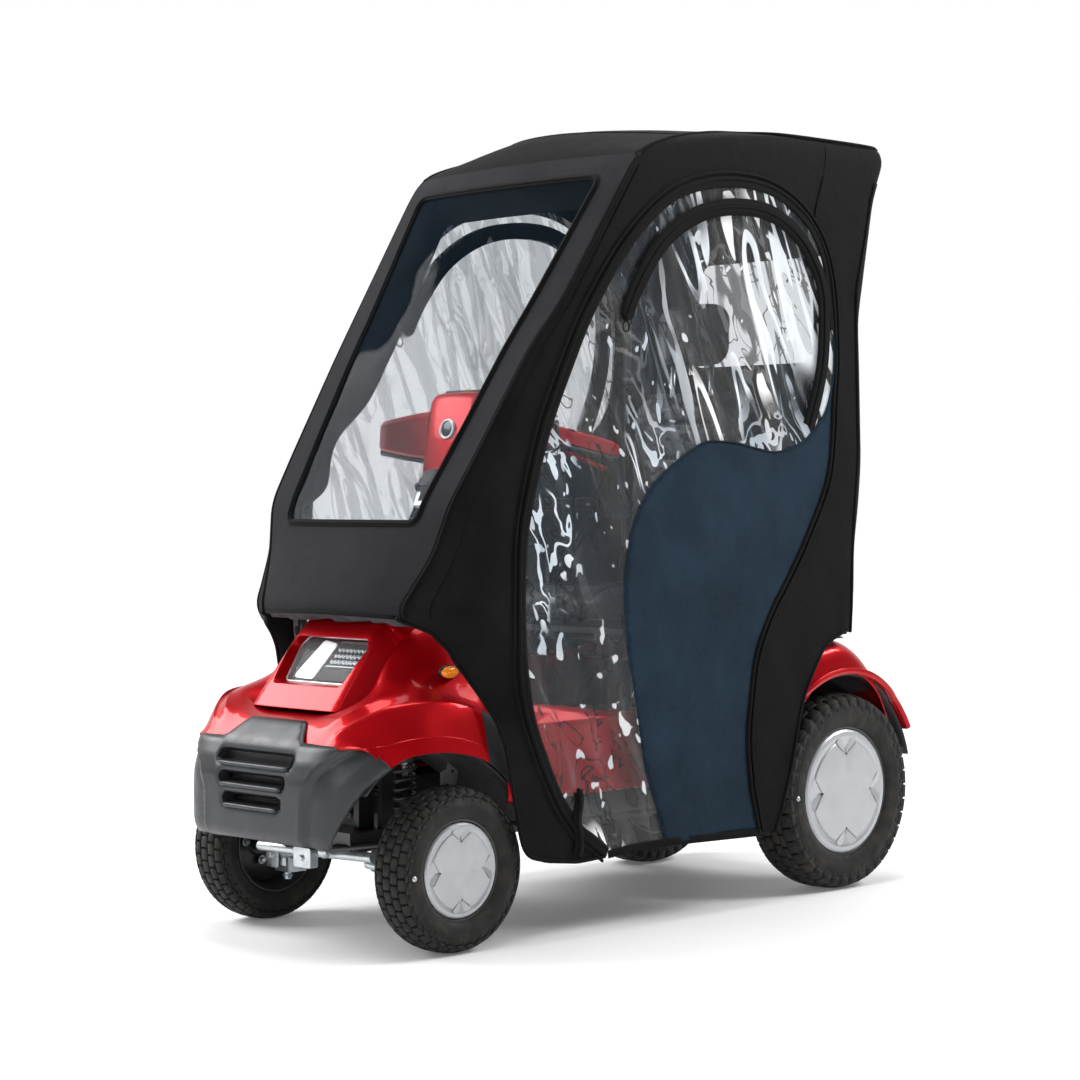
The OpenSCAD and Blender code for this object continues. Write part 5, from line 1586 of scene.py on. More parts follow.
# ---------------------------------------------------------------- rear body and skirts
def rear_body():
    def half():
        st = [
            (0.200, [(0.0, 0.530), (0.15, 0.530), (0.245, 0.528), (0.270, 0.520), (0.283, 0.500),
                     (0.289, 0.470),
                     (0.294, 0.400), (0.296, 0.330), (0.296, 0.285)]),
            (0.330, [(0.0, 0.534), (0.15, 0.534), (0.250, 0.532), (0.276, 0.523), (0.289, 0.503),
                     (0.296, 0.474),
                     (0.301, 0.410), (0.303, 0.345), (0.303, 0.300)]),
            (0.395, [(0.0, 0.536), (0.15, 0.538), (0.262, 0.536), (0.290, 0.526), (0.304, 0.506),
                     (0.312, 0.478),
                     (0.318, 0.425), (0.322, 0.365), (0.324, 0.318)]),
            (0.440, [(0.0, 0.540), (0.15, 0.542), (0.272, 0.542), (0.302, 0.533), (0.318, 0.512),
                     (0.328, 0.484),
                     (0.334, 0.450), (0.340, 0.420), (0.343, 0.402)]),
            (0.500, [(0.0, 0.548), (0.15, 0.552), (0.280, 0.553), (0.312, 0.545), (0.329, 0.528),
                     (0.337, 0.508),
                     (0.341, 0.490), (0.344, 0.474), (0.346, 0.460)]),
            (0.560, [(0.0, 0.553), (0.15, 0.558), (0.284, 0.561), (0.316, 0.555), (0.333, 0.541),
                     (0.340, 0.525),
                     (0.343, 0.510), (0.345, 0.498), (0.347, 0.486)]),
            (0.620, [(0.0, 0.552), (0.15, 0.557), (0.284, 0.560), (0.316, 0.554), (0.333, 0.541),
                     (0.340, 0.526),
                     (0.343, 0.512), (0.345, 0.501), (0.347, 0.490)]),
            (0.680, [(0.0, 0.532), (0.15, 0.536), (0.280, 0.536), (0.311, 0.528), (0.328, 0.515),
                     (0.336, 0.502),
                     (0.340, 0.491), (0.343, 0.481), (0.345, 0.472)]),
            (0.735, [(0.0, 0.490), (0.15, 0.492), (0.268, 0.490), (0.298, 0.482), (0.317, 0.470),
                     (0.327, 0.457),
                     (0.333, 0.448), (0.337, 0.440), (0.340, 0.432)]),
            (0.775, [(0.0, 0.430), (0.15, 0.430), (0.248, 0.426), (0.280, 0.418), (0.302, 0.408),
                     (0.316, 0.397),
                     (0.324, 0.388), (0.330, 0.380), (0.334, 0.372)]),
            (0.797, [(0.0, 0.345), (0.15, 0.344), (0.225, 0.340), (0.258, 0.336), (0.284, 0.333),
                     (0.304, 0.331),
                     (0.316, 0.330), (0.324, 0.329), (0.330, 0.328)]),
            (0.794, [(0.0, 0.250), (0.15, 0.250), (0.222, 0.250), (0.254, 0.250), (0.280, 0.252),
                     (0.298, 0.256),
                     (0.310, 0.262), (0.318, 0.268), (0.323, 0.276)]),
        ]
        return section_curves(st, 5, 4)
    rings = half()
    full = [[Vector((-p.x, p.y, p.z)) for p in reversed(r_)] + [Vector(p) for p in r_[1:]] for r_ in rings]
    vs, fs = loft(full, closed=False, caps=False)
    fs = [tuple(reversed(f)) for f in fs]
    piece("rear_body", [(vs, fs)], RED, "chassis", "red_paint", thick=-0.004, subdivide=1,
          swaps=("rear_body_shell",))
    parts, lips, screws = [], [], []
    for s in (1, -1):
        lip = []
        for k in range(40):
            a = math.radians(lerp(176, 28, k/39))
            y, z = REAR_Y + 0.264*math.cos(a), 0.221 + 0.264*math.sin(a)
            y2, z2 = REAR_Y + 0.279*math.cos(a), 0.221 + 0.279*math.sin(a)
            x = float(np.interp(y, [0.35, 0.43, 0.50, 0.70, 0.78, 0.80],
                                [0.312, 0.340, 0.347, 0.346, 0.338, 0.332]))
            lip.append([(s*(x - 0.020), y, z), (s*(x + 0.001), y, z),
                        (s*(x + 0.004), lerp(y, y2, 0.5), lerp(z, z2, 0.5)),
                        (s*(x + 0.001), y2, z2), (s*(x - 0.010), y2, z2)])
        v_, f_ = loft(lip, closed=False, caps=False)
        lips.append((v_, f_ if s < 0 else [tuple(reversed(q)) for q in f_]))
        tab = [block((s*0.200, 0.596, 0.552), (s*0.262, 0.640, 0.578)),
               block((s*0.212, 0.600, 0.574), (s*0.250, 0.622, 0.586))]
        parts += tab
        for y in (0.500, 0.652):
            screws.append(bolt((s*0.303, y, 0.5500 if y < 0.6 else 0.541), (s*0.25, 0, 1), 0.0045, 0.004))
    piece("rear_body_lips", [join(*lips), join(*parts)], RED, "chassis", "red_paint", bevel=0.0015)
    piece("rear_body_screws", [join(*screws)], ZINC, "chassis", "zinc")
    for s, side in ((1, "left"), (-1, "right")):
        rings = []
        for k in range(34):
            a = math.radians(lerp(188, 14, k/33))
            y, z = REAR_Y + 0.2615*math.cos(a), 0.221 + 0.2615*math.sin(a)
            xo = float(np.interp(y, [0.35, 0.43, 0.50, 0.70, 0.78, 0.80],
                                 [0.306, 0.332, 0.340, 0.338, 0.326, 0.318]))
            if z > 0.240:
                rings.append([(s*xo, y, z), (s*0.290, y, z), (s*0.235, y, z - 0.003),
                              (s*0.216, y, z - 0.010),
                              (s*0.213, y, z - 0.060)])
        part = loft(rings, closed=False, caps=False)
        box_ = block((s*0.262, 0.790 - 0.012, 0.395), (s*0.306, 0.790 - 0.040, 0.425))
        box_ = block((s*0.250, 0.770, 0.300), (s*0.300, 0.786, 0.336))
        piece(f"arch_liner_rear_{side}", [part, box_], BLACK, "chassis", "black_plastic", thick=0.0025)
        tail = loft([[(s*0.314, 0.760, 0.240), (s*0.336, 0.764, 0.262), (s*0.338, 0.770, 0.322),
                      (s*0.322, 0.786, 0.326)],
                     [(s*0.300, 0.784, 0.240), (s*0.322, 0.792, 0.262), (s*0.324, 0.7985, 0.322),
                      (s*0.310, 0.800, 0.326)]])
        piece(f"rear_corner_{side}", [tail], BLACK, "chassis", "black_plastic", bevel=0.002)


rear_body()


def skirts():
    for s, side in ((1, "left"), (-1, "right")):
        rings = []
        for y, zt, zc, zb in ((-0.415, 0.470, 0.452, 0.285), (-0.330, 0.470, 0.450, 0.285),
                              (-0.200, 0.455, 0.445, 0.285),
                              (-0.060, 0.438, 0.440, 0.285), (0.060, 0.440, 0.438, 0.285),
                              (0.188, 0.455, 0.442, 0.285)):
            zc = 0.432
            rings.append([(s*0.302, y, zt), (s*0.310, y, zt - 0.003), (s*0.318, y, zc + 0.006),
                          (s*0.3215, y, zc),
                          (s*0.3185, y, zc - 0.008), (s*0.314, y, 0.380), (s*0.317, y, 0.330),
                          (s*0.319, y, 0.306),
                          (s*0.3195, y, zb + 0.004), (s*0.312, y, zb)])
        part = loft([[p for p in curve(r_, 2)] for r_ in rings], closed=False, caps=False)
        faces = part[1] if s < 0 else [tuple(reversed(f)) for f in part[1]]
        piece(f"side_skirt_{side}", [(part[0], faces)], RED, "chassis", "red_paint", thick=0.004,
              swaps=("side_skirts",) if s > 0 else ())
        strip = loft([[(s*0.3185, y, 0.300), (s*0.3225, y, 0.298), (s*0.3225, y, 0.289),
                       (s*0.3185, y, 0.287)]
                      for y in np.linspace(-0.412, 0.185, 12)])
        well = loft([[(s*0.296, y, 0.285), (s*0.300, y, 0.264), (s*0.302, y, 0.232), (s*0.285, y, 0.226)]
                     for y in np.linspace(-0.342, 0.170, 12)], closed=False, caps=False)
        piece(f"skirt_strip_{side}", [strip, well], [GREY, BLACK], "chassis", "dark_plastic", thick=0.0)


skirts()


def floor_ribs():
    lo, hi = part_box("floor_mat")
    parts = []
    for k in range(30):
        x = lerp(lo.x + 0.02, hi.x - 0.02, k/29)
        ahead = -0.375 if abs(x) < 0.112 else -0.322
        parts.append(tube([(x, ahead, 0.2690), (x, 0.140, 0.2690)], 0.0018, 6))
    piece("floor_mat_ribs", parts, GRIP, "chassis", "rubber")


floor_ribs()


def tail_lamps():
    for s, side in ((1, "left"), (-1, "right")):
        def place(u, v, w):
            return (s*u, 0.790 - 0.62*(v - 0.410) + 0.011 - w*0.85 + 0.0, v + w*0.5)
        red = prism(rounded([(0.195, 0.414), (0.262, 0.414), (0.262, 0.458), (0.195, 0.458)], 0.008, 4),
                    lambda u, v, w: place(u, v, 0.006 - w), 0.007)
        amb = prism(rounded([(0.265, 0.414), (0.290, 0.414), (0.290, 0.458), (0.265, 0.458)], 0.008, 4),
                    lambda u, v, w: place(u, v, 0.006 - w), 0.007)
        piece(f"tail_lamp_{side}", [red, amb], [REDLENS, AMBER], "chassis", "red_lens", bevel=0.0015,
              swaps=("tail_lamps",) if s > 0 else ())


tail_lamps()


# ---------------------------------------------------------------- front suspension detail
def suspension():
    tie = [bar((-0.175, -0.648, 0.174), (0.175, -0.640, 0.182), 0.0105, 24),
           prism(rounded([(-0.024, 0.150), (0.030, 0.150), (0.030, 0.190), (-0.024, 0.190)], 0.004, 3),
                 lambda u, v, w: (u, -0.662 - w, v), 0.020),
           bolt((0.003, -0.682, 0.169), (0, -1, 0), 0.0060, 0.004),
           lathe([(0.0, -0.013), (0.007, -0.012), (0.0125, -0.006), (0.0135, 0.0), (0.0125, 0.006),
                  (0.007, 0.012), (0.0, 0.013)],
                 lambda h, c, t: (0.058 + h, -0.668 + c, 0.186 + t), 24)]
    rod = [bar((0.062, -0.664, 0.190), (0.190, -0.610, 0.206), 0.0085, 20),
           bar((-0.062, -0.664, 0.190), (-0.190, -0.610, 0.206), 0.0085, 20)]
    piece("front_tie", [join(*tie), join(*rod)], [ZINC, STEEL], "chassis", "zinc", bevel=0.001)
    for s, side in ((1, "left"), (-1, "right")):
        link, steer = "front_link_" + side, "steer_" + side
        parts = []
        # lower link tube, square clevis plate with its hole, diagonal brace and bolts
        parts.append(bar((s*0.105, FRONT_Y - 0.052, 0.160), (s*0.206, FRONT_Y - 0.044, 0.150), 0.0105, 20))
        plate = prism(rounded([(0.168, 0.124), (0.206, 0.124), (0.206, 0.174), (0.168, 0.174)], 0.005, 3),
                      lambda u, v, w: (s*u, FRONT_Y - 0.060 - w, v), 0.004)
        parts.append(plate)
        parts.append(bolt((s*0.187, FRONT_Y - 0.0645, 0.150), (0, -1, 0), 0.0065, 0.006))
        brace = block((s*0.132, FRONT_Y - 0.056, 0.176), (s*0.196, FRONT_Y - 0.052, 0.192),
                      math.radians(-20)*s, None, "Y")
        parts.append(brace)
        piece(f"front_link_detail_{side}", parts, ZINC, link, "zinc", bevel=0.0008)
        cup = [bar((s*0.215, FRONT_Y, 0.1185), (s*0.215, FRONT_Y, 0.150), 0.019, 28),
               bar((s*0.215, FRONT_Y, 0.182), (s*0.215, FRONT_Y, 0.2075), 0.019, 28),
               bar((s*0.228, FRONT_Y, 0.163), (s*0.244, FRONT_Y, 0.163), 0.020, 28)]
        piece(f"kingpin_cups_{side}", cup, ZINC, steer, "zinc", bevel=0.001)
        ends = [bolt((s*0.215, FRONT_Y, 0.2265), (0, 0, 1), 0.0085, 0.007),
                bolt((s*0.215, FRONT_Y, 0.0995), (0, 0, -1), 0.0085, 0.009)]
        piece(f"kingpin_nuts_{side}", ends, ZINC, link, "zinc")
        # spring over the damper: silver collar, dark coil and body
        coil = []
        turns, n = 7.5, 120
        for k in range(n + 1):
            t = k/n
            a = 2*pi*turns*t
            coil.append((s*0.160 + 0.0205*math.cos(a), FRONT_Y + 0.0205*math.sin(a), lerp(0.240, 0.378, t)))
        body_ = [bar((s*0.160, FRONT_Y, 0.226), (s*0.160, FRONT_Y, 0.330), 0.0115, 24)]
        rod = [bar((s*0.160, FRONT_Y, 0.330), (s*0.160, FRONT_Y, 0.400), 0.0065, 20),
               bar((s*0.160, FRONT_Y, 0.380), (s*0.160, FRONT_Y, 0.386), 0.0235, 32),
               bar((s*0.160, FRONT_Y, 0.388), (s*0.160, FRONT_Y, 0.396), 0.0200, 32),
               bar((s*0.160, FRONT_Y, 0.232), (s*0.160, FRONT_Y, 0.238), 0.0235, 32)]
        piece(f"front_shock_{side}", [tube(coil, 0.0042, 8), join(*body_), join(*rod)],
              [STEEL, STEEL, ZINC], "chassis",
              "frame_steel", swaps=("front_shocks",) if s > 0 else ())
        # bracket with holes behind the shock
        bracket = prism(rounded([(0.060, 0.300), (0.100, 0.292), (0.108, 0.350), (0.086, 0.372),
                                 (0.078, 0.345), (0.062, 0.340)], 0.004, 3),
                        lambda u, v, w: (s*(0.196 + w), FRONT_Y + u, v), 0.003)
        # painted shade: the bracket's holes are black discs laid on it
        painted_hole_discs = [bar((s*0.1988, FRONT_Y + 0.078, 0.312), (s*0.2002, FRONT_Y + 0.078, 0.312), 0.0045, 16),
                bar((s*0.1988, FRONT_Y + 0.092, 0.340), (s*0.2002, FRONT_Y + 0.092, 0.340), 0.0035, 16)]
        piece(f"front_bracket_{side}", [bracket, join(*painted_hole_discs)], [ZINC, BLACK], "chassis", "zinc",
              bevel=0.0006)
        coil = []
        for k in range(n + 1):
            t = k/n
            a = 2*pi*7*t
            coil.append((s*0.155 + 0.0235*math.cos(a), REAR_Y - 0.020 + 0.0235*math.sin(a),
                         lerp(0.322, 0.446, t)))
        rod = [bar((s*0.155, REAR_Y - 0.020, 0.302), (s*0.155, REAR_Y - 0.020, 0.468), 0.008, 20),
               bar((s*0.155, REAR_Y - 0.020, 0.308), (s*0.155, REAR_Y - 0.020, 0.316), 0.027, 32),
               bar((s*0.155, REAR_Y - 0.020, 0.452), (s*0.155, REAR_Y - 0.020, 0.460), 0.027, 32)]
        piece(f"rear_shock_{side}", [tube(coil, 0.0048, 8), join(*rod)], [STEEL, ZINC], "chassis",
              "frame_steel",
              swaps=("rear_shocks",) if s > 0 else ())


suspension()


# ---------------------------------------------------------------- tiller
def tiller():
    outline = [(-0.297, 0.925), (-0.284, 1.010), (-0.268, 1.092), (-0.255, 1.106), (-0.240, 1.109),
               (-0.188, 1.070),
               (-0.180, 1.004), (-0.204, 0.992), (-0.206, 0.966), (-0.234, 0.926)]
    rings = []
    for x, f in ((-0.070, 0.93), (-0.066, 0.975), (-0.056, 1.0), (-0.020, 1.012), (0.020, 1.012),
                 (0.056, 1.0),
                 (0.066, 0.975), (0.070, 0.93)):
        c = Vector((0, -0.240, 1.020))
        rings.append([(x, lerp(c.y, y, f), lerp(c.z, z, f)) for y, z in [(p[0], p[1]) for p in outline]])
    head = loft(rings)
    piece("tiller_cover", [head], RED, "tiller", "red_paint", bevel=0.004, swaps=("tiller_head",))
    wings, edges = [], []
    for s in (1, -1):
        st = []
        for x, y0, y1, z0, z1 in ((0.066, -0.284, -0.250, 0.968, 1.070),
                                  (0.110, -0.280, -0.248, 0.972, 1.067),
                                  (0.160, -0.276, -0.247, 0.978, 1.062),
                                  (0.205, -0.272, -0.245, 0.984, 1.057),
                                  (0.238, -0.266, -0.236, 0.988, 1.053),
                                  (0.258, -0.250, -0.222, 0.991, 1.049),
                                  (0.266, -0.232, -0.214, 0.994, 1.044)):
            st.append([(s*x, y0 + 0.004, z0), (s*x, y0, z0 + 0.006), (s*x, y0 + 0.003, z1 - 0.010),
                       (s*x, y0 + 0.012, z1),
                       (s*x, y1, z1 - 0.004), (s*x, y1, z0 + 0.004), (s*x, y1 - 0.006, z0)])
        wings.append(loft(st) if s < 0 else (lambda v: (v[0],
                                                        [tuple(reversed(f)) for f in v[1]]))(loft(st)))
        edges.append(tube([(s*x, y0 + 0.008, z0 - 0.003) for x, y0,
                           z0 in ((0.070, -0.284, 0.966), (0.160, -0.276, 0.976),
                     (0.238, -0.266, 0.986), (0.266, -0.240, 0.991), (0.270, -0.234, 1.018),
                                  (0.266, -0.232, 1.046))], 0.0056, 8))
    piece("tiller_wings", wings, RED, "tiller", "red_paint", bevel=0.0025)
    boot = lathe([(0.047, 0.0), (0.050, 0.006), (0.043, 0.014), (0.046, 0.020), (0.038, 0.028),
                  (0.041, 0.034), (0.034, 0.044)],
                 lambda h, c, t: (c, -0.315 + h*0.42 + t*0.9, 0.893 + h*0.9 - t*0.42), 32)
    guards = []
    for s in (1, -1):
        rings, under = [], []
        for k in range(15):
            t = k/14
            y = lerp(-0.236, -0.048, t)
            x = 0.259 + 0.009*math.sin(pi*min(1, t*1.2)*0.5)
            zc, h = lerp(1.020, 0.984, t), 0.0175*(0.55 + 0.45*math.sqrt(clamp(1 - (2*t - 1)**8)))
            rings.append([(s*x, y, zc + h), (s*(x + 0.009), y, zc + h*0.86), (s*(x + 0.012), y, zc),
                          (s*(x + 0.009), y, zc - h*0.86),
                          (s*x, y, zc - h), (s*(x - 0.003), y, zc)])
            under.append((s*(x + 0.004), y, zc - h - 0.003))
        guards.append(loft(rings))
        edges.append(tube(under, 0.0045, 8))
    piece("hand_guards", guards, RED, "tiller", "red_paint", bevel=0.002)
    # plain round badge with a ring, no mark on it
    n = Vector((0, -1, 0.17)).normalized()
    c = Vector((0, -0.2795, 1.030))
    side = Vector((1, 0, 0))
    up_ = n.cross(side).normalized()
    at = lambda h, a, b: tuple(c + n*h + side*a + up_*b)
    piece("tiller_badge", [lathe([(0.0, 0.0062), (0.013, 0.006), (0.0165, 0.005)], at, 40),
                           lathe([(0.0165, 0.0045), (0.0175, 0.0072), (0.0205, 0.0072), (0.022, 0.004),
                                  (0.022, -0.004)], at, 40)],
          [GLOSSBLACK, CHROME], "tiller", "lamp_bright")
    piece("tiller_edges", [join(*edges), (boot[0], boot[1])], BLACK, "tiller", "black_plastic")
    for s, side_ in ((1, "left"), (-1, "right")):
        a, b = Vector((s*0.2524, -0.170, 1.0088)), Vector((s*0.2594, -0.070, 0.9878))
        line = [a.lerp(b, k/24) for k in range(25)]
        rr = [0.0162 + (0.0016 if k % 2 else 0) + (0.0012 if k in (0, 24) else 0) for k in range(25)]
        tip = [b, b + (b - a).normalized()*0.004, b + (b - a).normalized()*0.006]
        piece(f"grip_{side_}", [tube(line, rr, 24), tube(tip, [0.0178, 0.0176, 0.012], 24)], GRIP,
              "tiller", "rubber")
    # curved brake lever blade over its CAD arm
    pts = curve([(0.2505, -0.182, 0.984), (0.2505, -0.160, 0.975), (0.2525, -0.120, 0.962),
                 (0.2545, -0.085, 0.950),
                 (0.2555, -0.071, 0.945)], 6)
    piece("brake_blade", [tube(pts, [0.0062]*len(pts), 12)], RED, "brake", "red_paint",
          swaps=("brake_lever",))
    # the brake cable
    cable = curve([(0.245, -0.190, 0.992), (0.225, -0.215, 0.975), (0.150, -0.240, 0.975),
                   (0.060, -0.262, 0.968),
                   (0.030, -0.290, 0.920)], 8)
    piece("brake_cable", [tube(cable, 0.0026, 8)], BLACK, "tiller", "black_plastic")


tiller()


# ---------------------------------------------------------------- seat, by cloth simulation
def pillow(name, half, centre, mats, body, swaps, cap=0.024, voxel=0.0065, pinch=None, turn=0.0,
           waist=0.0):
    """A padded block: swelled by Cloth with pressure and a cap on each point's travel, then smoothed."""
    hx, hy, hz, rc = half
    n = 10
    ring = []
    for cx, cy, a0 in ((1, 1, 0), (-1, 1, 90), (-1, -1, 180), (1, -1, 270)):
        for k in range(n + 1):
            a = math.radians(a0 + 90*k/n)
            ring.append((cx*(hx - rc) + rc*math.cos(a), cy*(hy - rc) + rc*math.sin(a)))
    rings = []
    e = min(0.016, hz*0.5)
    for z, f in ((-hz, e), (-hz + e*0.4, e*0.35), (-hz + e, 0.0), (0.0, 0.0), (hz - e, 0.0),
                 (hz - e*0.4, e*0.35), (hz, e)):
        g = 1 - f/min(hx, hy)
        rings.append([(x*g, y*g, z) for x, y in ring])
    vs, fs = loft(rings)
    me = bpy.data.meshes.new(name)
    me.from_pydata([tuple(v) for v in vs], [], fs)
    me.update()
    o = bpy.data.objects.new(name, me)
    scene.collection.objects.link(o)
    bpy.context.view_layer.objects.active = o
    o.select_set(True)
    rm = o.modifiers.new("remesh", "REMESH")
    rm.mode = "VOXEL"
    rm.voxel_size = voxel
    dg = bpy.context.evaluated_depsgraph_get()
    base = bpy.data.meshes.new_from_object(o.evaluated_get(dg))
    o.modifiers.clear()
    o.data = base
    rest = np.array([v.co for v in base.vertices], float)
    cl = o.modifiers.new("cloth", "CLOTH")
    cl.settings.use_pressure = True
    cl.settings.uniform_pressure_force = 4.0
    cl.settings.quality = 4
    cl.settings.tension_stiffness = 12
    cl.settings.bending_stiffness = 0.6
    cl.settings.effector_weights.gravity = 0
    cl.collision_settings.use_collision = False
    cl.point_cache.frame_start = 1
    cl.point_cache.frame_end = 20
    for f in range(1, 15):
        scene.frame_set(f)
    dg = bpy.context.evaluated_depsgraph_get()
    out = np.array([v.co for v in o.evaluated_get(dg).data.vertices], float)
    o.modifiers.clear()
    scene.frame_set(1)
    move = out - rest
    length = np.linalg.norm(move, axis=1, keepdims=True) + 1e-9
    move *= np.minimum(length, cap)/length
    move[:, 2] = np.where(rest[:, 2] < -hz*0.6, move[:, 2]*0.15, move[:, 2])
    out = rest + move
    if pinch:
        out = pinch(out)
    if waist:
        t = np.clip(out[:, 1]/hy, -1, 1)
        out[:, 0] *= 1 - waist*(1 - t*t)*0.5
    c = np.array(centre, float) + np.array((0, DY, 0))
    m = np.array(Matrix.Rotation(turn, 3, "X"))
    out = out @ m.T + c
    o.data.vertices.foreach_set("co", out.ravel().astype(np.float32))
    o.data.materials.clear()
    o.data.materials.append(mats)
    o.data.polygons.foreach_set("use_smooth", [True]*len(o.data.polygons))
    o.data.update()
    sub = o.modifiers.new("smooth", "SUBSURF")
    sub.levels = sub.render_levels = 1
    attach(o, body)
    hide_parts(*swaps)
    return o


def seat():
    lo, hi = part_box("seat_cushion")
    cz = (lo.z + hi.z)/2

    def channels(p):
        """Two sewn channels along and three across, and a shallow dish in the middle."""
        x, y, z = p[:, 0], p[:, 1], p[:, 2]
        top = np.clip((z - 0.010)/0.03, 0, 1)
        dip = np.zeros(len(p))
        for xc in (-0.118, 0.118):
            dip += np.exp(-((x - xc)/0.0065)**2)*(np.abs(y) < 0.185)
        for yc in (-0.095, 0.010, 0.115):
            dip += np.exp(-((y - yc)/0.0065)**2)*(np.abs(x) < 0.118)
        dish = 0.010*np.exp(-(x/0.15)**2 - (y/0.16)**2)
        p[:, 2] = z - top*(0.0085*np.clip(dip, 0, 1) + dish)
        return p
    pillow("cushion", (0.196, 0.186, 0.028, 0.065), (0, 0.206, cz - 0.004), VINYL, "seat",
           ("seat_cushion",),
           cap=0.017, pinch=channels)

    def back_channels(p):
        x, y, z = p[:, 0], p[:, 1], p[:, 2]
        face = np.clip((z - 0.006)/0.02, 0, 1)
        dip = np.zeros(len(p))
        for xc in (-0.112, 0.112):
            dip += np.exp(-((x - xc)/0.0065)**2)*(np.abs(y) < 0.19)
        for yc in (-0.12, -0.04, 0.04, 0.12):
            dip += np.exp(-((y - yc)/0.0065)**2)*(np.abs(x) < 0.112)
        p[:, 2] = z - face*0.0085*np.clip(dip, 0, 1)
        return p
    lean = math.radians(3)
    # the back's own axes: z of the pad points ahead, y up
    cy = 0.435 + 0.285*math.sin(lean) + 0.015*math.cos(lean)
    czz = 0.645 + 0.285*math.cos(lean) - 0.015*math.sin(lean)
    pillow("back_pad", (0.176, 0.196, 0.022, 0.075), (0, cy, czz), VINYL, "back", ("backrest",), cap=0.015,
           pinch=back_channels, turn=math.radians(90) - lean)
    hy = 0.435 + 0.614*math.sin(lean) + 0.015*math.cos(lean)
    hz = 0.645 + 0.614*math.cos(lean) - 0.015*math.sin(lean)
    pillow("head_pad", (0.104, 0.070, 0.020, 0.045), (0, hy, hz), VINYL, "headrest_body", ("headrest",),
           cap=0.014,
           turn=math.radians(90) - lean)
    place = lambda u, v, w: (u, 0.435 + w*math.sin(lean) + v*math.cos(lean),
                             0.645 + w*math.cos(lean) - v*math.sin(lean))
    posts = [bar(place(s*0.060, 0.015, 0.415), place(s*0.060, 0.015, 0.560), 0.0058, 16) for s in (1, -1)]
    piece("headrest_posts", posts, ZINC, "headrest_body", "zinc")
    irons = []
    for s in (1, -1):
        irons.append(loft([[place(s*0.188, a, -0.014), place(s*0.195, a, -0.014),
                            place(s*0.195, a, 0.110), place(s*0.188, a, 0.110)]
                           for a in (-0.004, 0.020)]))
        irons.append(loft([[place(s*0.188, a, 0.192), place(s*0.195, a, 0.192), place(s*0.195, a, 0.228),
                            place(s*0.188, a, 0.228)]
                           for a in (-0.060, 0.018)]))
        irons.append(bar(place(s*0.196, -0.040, 0.208), place(s*0.237, -0.040, 0.208), 0.0078, 20))
        irons.append(bar(place(s*0.196, 0, 0), place(s*0.2065, 0, 0), 0.0058, 16))
    pillow_shell(place)
    piece("back_irons", [join(*irons)], STEEL, "back", "frame_steel", bevel=0.001)
    for s, side in ((1, "left"), (-1, "right")):
        px, py, pz = place(s*0.234, -0.040, 0.208)
        rings = []
        for k in range(17):
            t = k/16
            y = py - 0.236*t
            w = 0.0195*(1 - 0.12*t) * (0.55 + 0.45*math.sqrt(clamp(1 - (2*t - 1)**10)))
            h = 0.028*(0.6 + 0.4*math.sqrt(clamp(1 - (2*t - 1)**8)))
            zc = pz + 0.015
            ring = []
            for j in range(20):
                a = 2*pi*j/20
                cx_, sz_ = math.cos(a), math.sin(a)
                ring.append((px + w*math.copysign(abs(cx_)**0.6, cx_), y,
                             zc + h*0.5*math.copysign(abs(sz_)**0.6, sz_)))
            rings.append(ring)
        barrel = bar((s*0.2165, py, pz), (s*0.2435, py, pz), 0.0155, 24)
        piece(f"arm_pad_{side}", [loft(rings), barrel], [VINYL, BLACK], "arm_" + side, "vinyl",
              swaps=("armrest_" + side,))


def pillow_shell(place):
    rings = []
    for w in np.linspace(0.085, 0.485, 14):
        edge = 0.172 - 0.030*(abs(w - 0.285)/0.2)**6
        rings.append([place(edge*math.sin(t), 0.044 - 0.010*abs(math.sin(t))**4,
                            w) for t in np.linspace(-pi/2, pi/2, 15)])
    return piece("back_shell", [loft(rings, closed=False, caps=False)], BLACK, "back", "black_plastic",
                 thick=0.003)


seat()


# ---------------------------------------------------------------- finishes of the CAD pieces that stay
def finish_node(name, mat):
    o = NODES[name]
    o.data.materials.clear()
    o.data.materials.append(mat)
    b = o.modifiers.new("edges", "BEVEL")
    b.width = 0.0012
    b.segments = 2
    b.limit_method = "ANGLE"
    b.angle_limit = math.radians(40)
    b.use_clamp_overlap = True


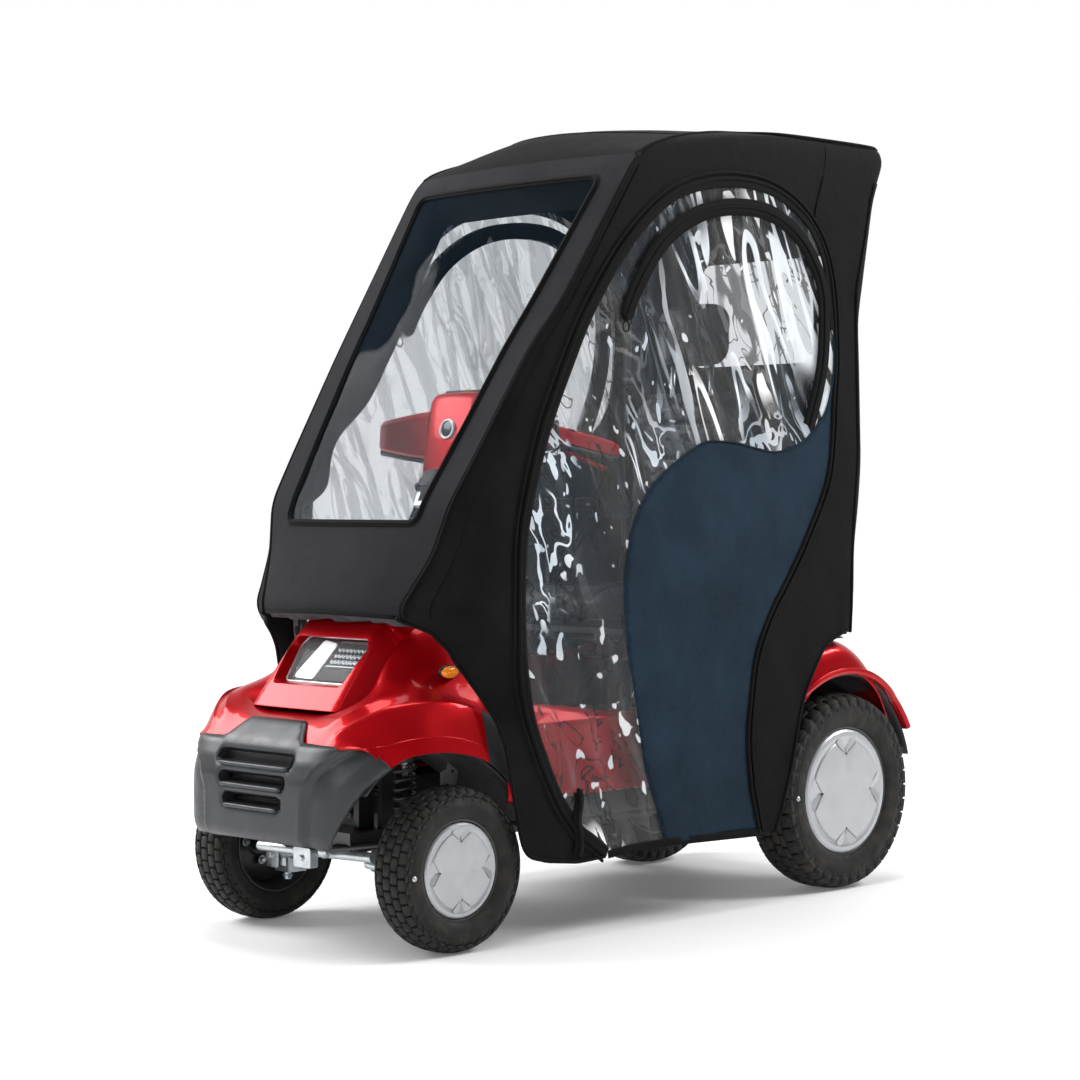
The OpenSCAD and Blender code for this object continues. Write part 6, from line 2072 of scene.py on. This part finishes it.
for names, mat in (
        (("chassis_frame", "column_tube", "seat_post", "seat_swivel", "seat_pan", "transaxle"), STEEL),
        (("floor_tray", "rear_bumper", "dash_panel", "throttle_lever", "speed_dial", "handlebar"), BLACK),
        (("floor_mat",), GRIP), (("batteries",), plastic("battery_case", (0.030, 0.031, 0.034), 0.5)),
        (("controller", "motor"), plastic("cast_case", (0.05, 0.052, 0.055), 0.5, 0.4, 260, 0.4)),
        (("front_arm_left", "front_arm_right", "knuckle_left", "knuckle_right", "track_rod",
          "steering_shaft", "key"), ZINC),
        (("horn_button", "freewheel_lever"), YELLOW)):
    for name in names:
        finish_node(name, mat)



def canopy_tubes():
    """The CAD canopy frame, its front corners drawn in under the roof's rounder brow."""
    cad = NODES["canopy_frame"]
    vs = []
    for v in cad.data.vertices:
        p = cad.matrix_world @ v.co
        w = smooth((0.15 - p.y)/0.12)*smooth((p.z - 1.54)/0.07)
        vs.append((p.x, p.y + 0.014*w - DY, p.z - 0.036*w))
    o = piece("canopy_tubes", [(vs, [tuple(p.vertices) for p in cad.data.polygons])], STEEL, "chassis",
              "frame_steel",
              swaps=("canopy_frame",))
    o.data.set_sharp_from_angle(angle=math.radians(30))


canopy_tubes()

# ---------------------------------------------------------------- floor
floor_mesh = bpy.data.meshes.new("floor")
floor_mesh.from_pydata([(-14, -14, 0), (14, -14, 0), (14, 14, 0), (-14, 14, 0)], [], [(0, 1, 2, 3)])
floor = bpy.data.objects.new("floor", floor_mesh)
scene.collection.objects.link(floor)
fm = Mat("floor", (0.93, 0.93, 0.93), 0.6)
fm.color(fm.mix(fm.noise(0.8, 2), (0.92, 0.92, 0.92), (0.95, 0.95, 0.95)))
# painted light: the floor glows, faintly by the machine and more the farther out, lifting the far floor
# towards the wall's white
f_len = fm.node("VectorMath", operation="LENGTH")
fm.link(fm.coord, f_len.inputs[0])
fm.set("Emission Color", (1, 1, 1, 1))
fm.link(fm.remap(f_len.outputs["Value"], 1.4, 6.0, 0.10, 0.75), fm.b.inputs["Emission Strength"])
fm.set("Specular IOR Level", 0.1)
floor_mesh.materials.append(fm.m)
